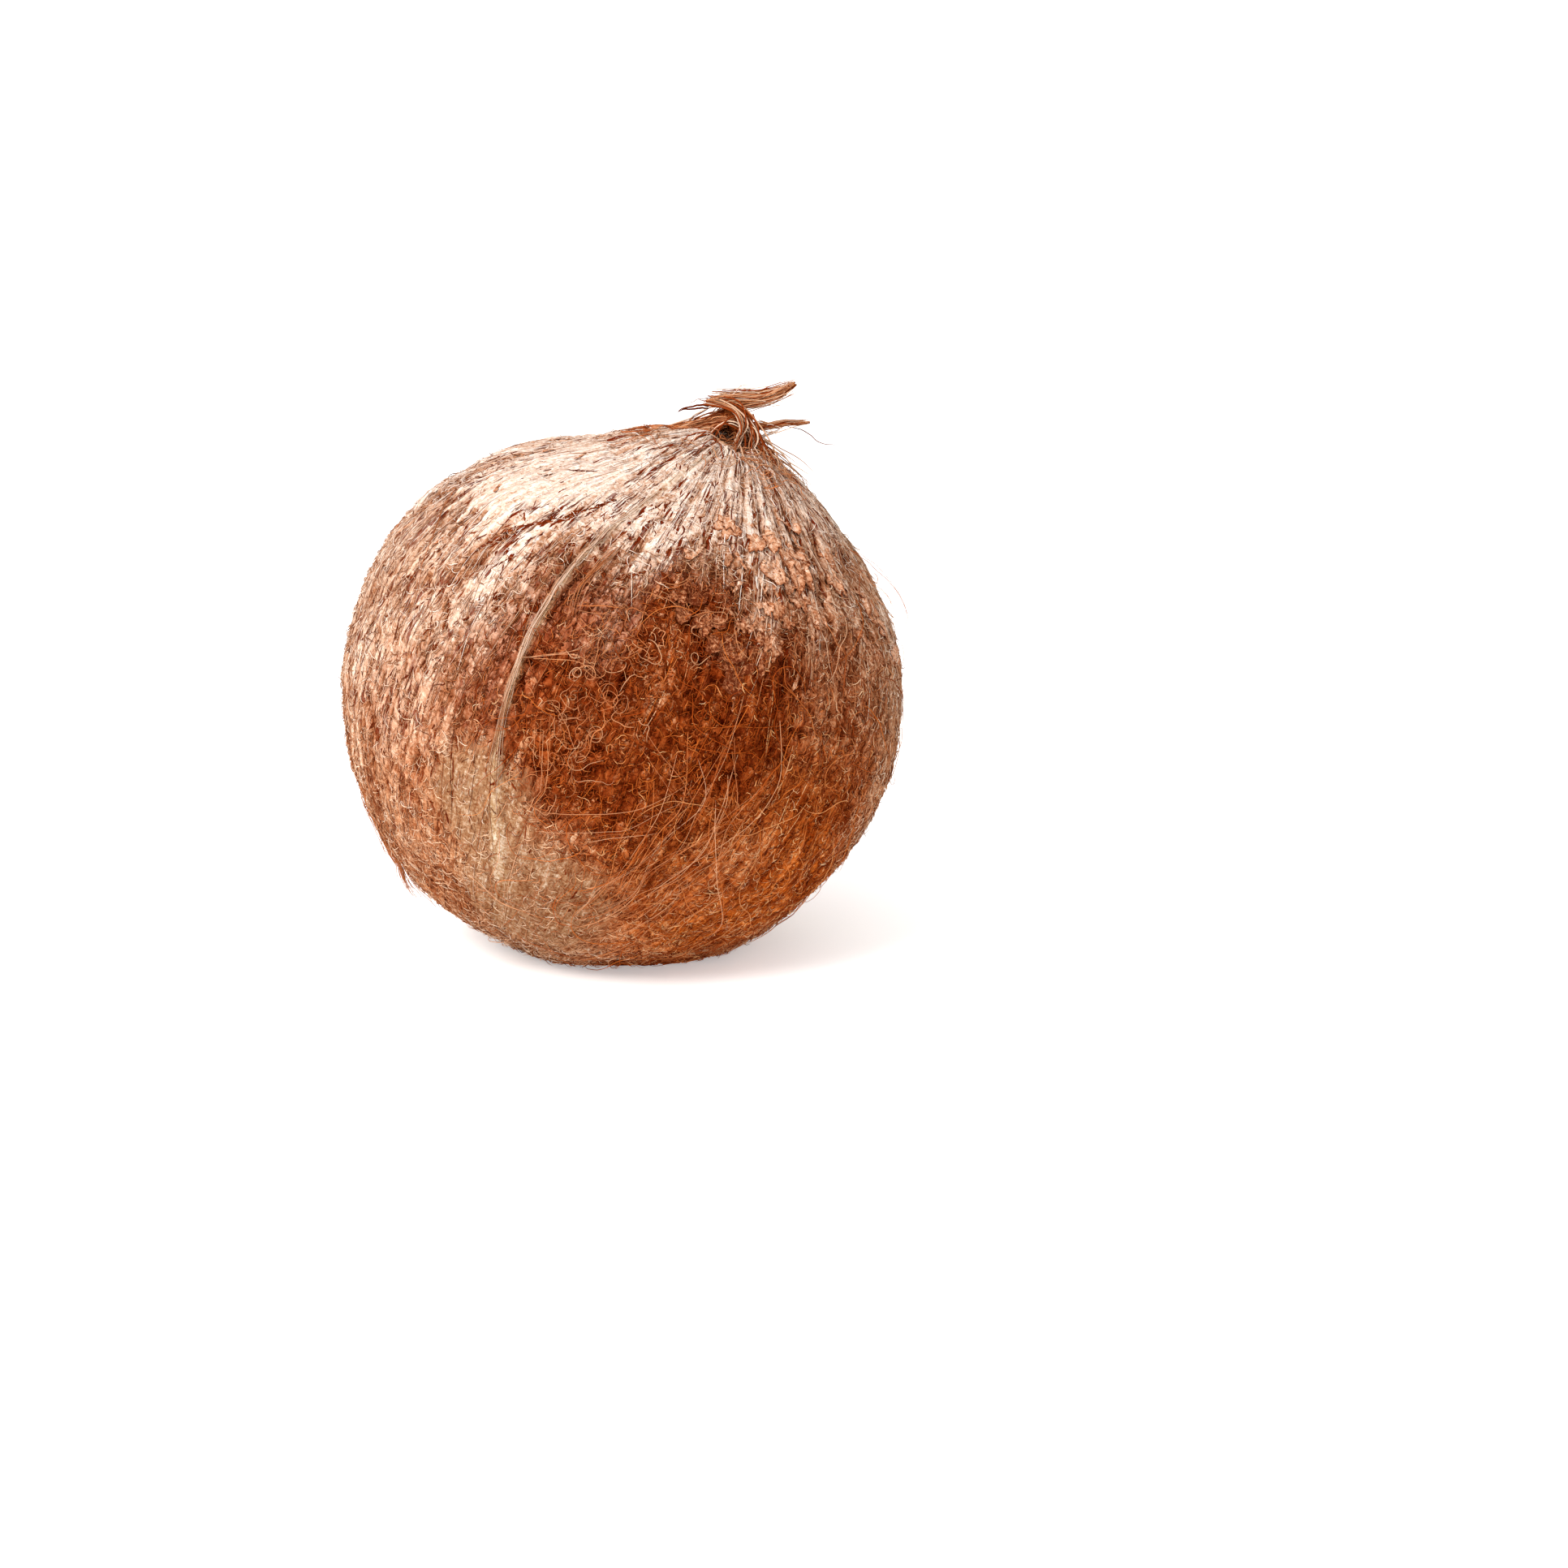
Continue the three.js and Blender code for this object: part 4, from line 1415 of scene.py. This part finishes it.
class CoconutSizes(bpy.types.PropertyGroup):
    pleat_depth: FloatProperty(
        name="Pleat depth",
        description="Depth of the grooves that run down from the crown",
        default=0.9 * MM,
        unit="LENGTH",
    )
    felt_height: FloatProperty(
        name="Felt height",
        description="Height of the matted curls",
        default=0.45 * MM,
        unit="LENGTH",
    )


def colour_property(name, description, hex_colour):
    return FloatVectorProperty(
        name=name,
        description=description,
        subtype="COLOR",
        size=3,
        min=0,
        max=1,
        default=linear(hex_colour)[:3],
    )


class CoconutColours(bpy.types.PropertyGroup):
    bleached: colour_property("Bleached husk", "Weathered crust round the crown", "DABFAC")
    felt: colour_property("Felt", "Matted fibre over most of the nut", "BA8C69")
    # orange felt; low on the front right it also paints warm bounced light
    ember: colour_property("Orange felt", "Fresh fibre low on the nut", "BC6020")
    dark: colour_property("Dark felt", "Red-brown fibre in the shaded middle", "96491F")
    pith: colour_property("Pith", "Worn tan patches by the seams", "9A7252")
    seam: colour_property("Seam", "The ribbons along the three seams", "A5825F")
    # painted shade: the deep colour of the coat's slits and furrows, standing for the shade in them
    slit: colour_property("Slits", "The gaps between strands of dry husk", "6A2108")
    plate: colour_property("Plates", "Curled plates of crust below the crown", "CE9B7A")
    husk: colour_property("Torn husk", "Splinters and the knot of the crown", "B4713F")


def finish_piece(piece, node, material):
    piece.data.materials.clear()
    piece.data.materials.append(material)
    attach(piece, "root")
    if node:
        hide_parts(node)


class COCONUT_OT_coat(bpy.types.Operator):
    """Model the matted coat over the nut"""

    bl_idname = "coconut.coat"
    bl_label = "Husk Coat"

    def execute(self, context):
        coat = model_coat(context.scene.coconut_sizes)
        finish_piece(coat, "nut", matted_coir(context.scene.coconut_colours))
        return {"FINISHED"}


class COCONUT_OT_felt(bpy.types.Operator):
    """Grow the curled felt over the coat"""

    bl_idname = "coconut.felt"
    bl_label = "Felt"

    def execute(self, context):
        material = loose_coir(context.scene.coconut_colours)
        for number in range(7):
            piece = model_felt(f"felt_{number + 1}", 9100, number)
            finish_piece(piece, None, material)
        return {"FINISHED"}


class COCONUT_OT_strands(bpy.types.Operator):
    """Comb long strands down the coat and let loose hairs stand off it"""

    bl_idname = "coconut.strands"
    bl_label = "Strands"

    def execute(self, context):
        material = loose_coir(context.scene.coconut_colours)
        combed = model_combed("combed_strands", 4200)
        finish_piece(combed, None, material)
        hairs = model_loose_hairs("loose_hairs", 1100)
        finish_piece(hairs, None, material)
        finish_piece(model_single_hairs("single_hairs"), None, material)
        finish_piece(model_tangles("tangles"), None, material)
        finish_piece(model_seam_strands("seam_ribbons", 34), None, material)
        return {"FINISHED"}


class COCONUT_OT_flakes(bpy.types.Operator):
    """Lap stiff flakes of torn husk over the upper coat"""

    bl_idname = "coconut.flakes"
    bl_label = "Husk Flakes"

    def execute(self, context):
        colours = context.scene.coconut_colours
        finish_piece(model_gap_shade("husk_gaps", 5200), None, loose_coir(colours))
        material = torn_husk("weathered_husk", colours.plate)
        finish_piece(model_plates("husk_plates", 1000), None, material)
        finish_piece(model_flakes("husk_flakes", 3000), None, material)
        return {"FINISHED"}


class COCONUT_OT_crown(bpy.types.Operator):
    """Twist the torn husk at the crown round its dark hollow"""

    bl_idname = "coconut.crown"
    bl_label = "Crown Twist"

    def execute(self, context):
        material = loose_coir(context.scene.coconut_colours)
        core = model_knot_core("knot_core")
        dark_husk = torn_husk("crumpled_husk", context.scene.coconut_colours.husk)
        finish_piece(core, "tuft_knot", dark_husk)
        finish_piece(model_crown_strands("crown_strands"), "tuft_knot", material)
        finish_piece(model_crown_sheet("crown_sheet", 130), "tuft_knot", material)
        return {"FINISHED"}


class COCONUT_OT_splinters(bpy.types.Operator):
    """Model the two stiff husk splinters at the crown"""

    bl_idname = "coconut.splinters"
    bl_label = "Husk Splinters"

    def execute(self, context):
        material = torn_husk("splintered_husk", context.scene.coconut_colours.husk)
        long = model_splinter(
            "long_splinter",
            ((-5.4, 0.4, 8.4), (-1, 0.2, 8.8), (5, -0.4, 9.2), (10, -1, 10.8), (13.6, -1.4, 12.9)),
            ((0, 0.2, 0.5, 0.85, 1), (0.7, 1.4, 1.6, 0.9, 0.5)),
            ((0, 0.2, 0.6, 1), (0.5, 0.8, 0.7, 0.3)),
            141,
        )
        finish_piece(long, "husk_splinter_long", material)
        short = model_splinter(
            "short_splinter",
            ((4.6, -1, 3.8), (8, -0.8, 3.5), (12, -0.4, 4.1), (16.6, 0, 4.3)),
            ((0, 0.2, 0.5, 0.8, 1), (0.8, 0.8, 0.5, 0.5, 0.2)),
            ((0, 0.3, 1), (0.4, 0.4, 0.15)),
            151,
        )
        finish_piece(short, "husk_splinter_short", material)
        return {"FINISHED"}


class COCONUT_OT_studio(bpy.types.Operator):
    """Set up the pale floor, the soft lights and the camera"""

    bl_idname = "coconut.studio"
    bl_label = "Studio"

    def execute(self, context):
        make_floor()
        make_world()
        add_area_light("key", (-0.7, -0.85, 1.0), (0, 0, 0.06), 0.6, 22, "FFFFFF")
        make_camera()
        return {"FINISHED"}


class COCONUT_PT_panel(bpy.types.Panel):
    bl_label = "Husked Coconut"
    bl_idname = "COCONUT_PT_panel"
    bl_space_type = "VIEW_3D"
    bl_region_type = "UI"
    bl_category = "Coconut"

    def draw(self, context):
        sizes = context.scene.coconut_sizes
        for name in ("pleat_depth", "felt_height"):
            self.layout.prop(sizes, name)
        for name in CoconutColours.__annotations__:
            self.layout.prop(context.scene.coconut_colours, name)
        for operator in OPERATORS:
            self.layout.operator(operator.bl_idname)


OPERATORS = (
    COCONUT_OT_coat,
    COCONUT_OT_felt,
    COCONUT_OT_strands,
    COCONUT_OT_flakes,
    COCONUT_OT_crown,
    COCONUT_OT_splinters,
    COCONUT_OT_studio,
)
CLASSES = (CoconutSizes, CoconutColours, *OPERATORS, COCONUT_PT_panel)


def register():
    for cls in CLASSES:
        bpy.utils.register_class(cls)
    bpy.types.Scene.coconut_sizes = PointerProperty(type=CoconutSizes)
    bpy.types.Scene.coconut_colours = PointerProperty(type=CoconutColours)


def unregister():
    del bpy.types.Scene.coconut_sizes
    del bpy.types.Scene.coconut_colours
    for cls in reversed(CLASSES):
        bpy.utils.unregister_class(cls)


def main():
    register()
    for operator in OPERATORS:
        group, name = operator.bl_idname.split(".")
        getattr(getattr(bpy.ops, group), name)()


if __name__ == "__main__":
    main()
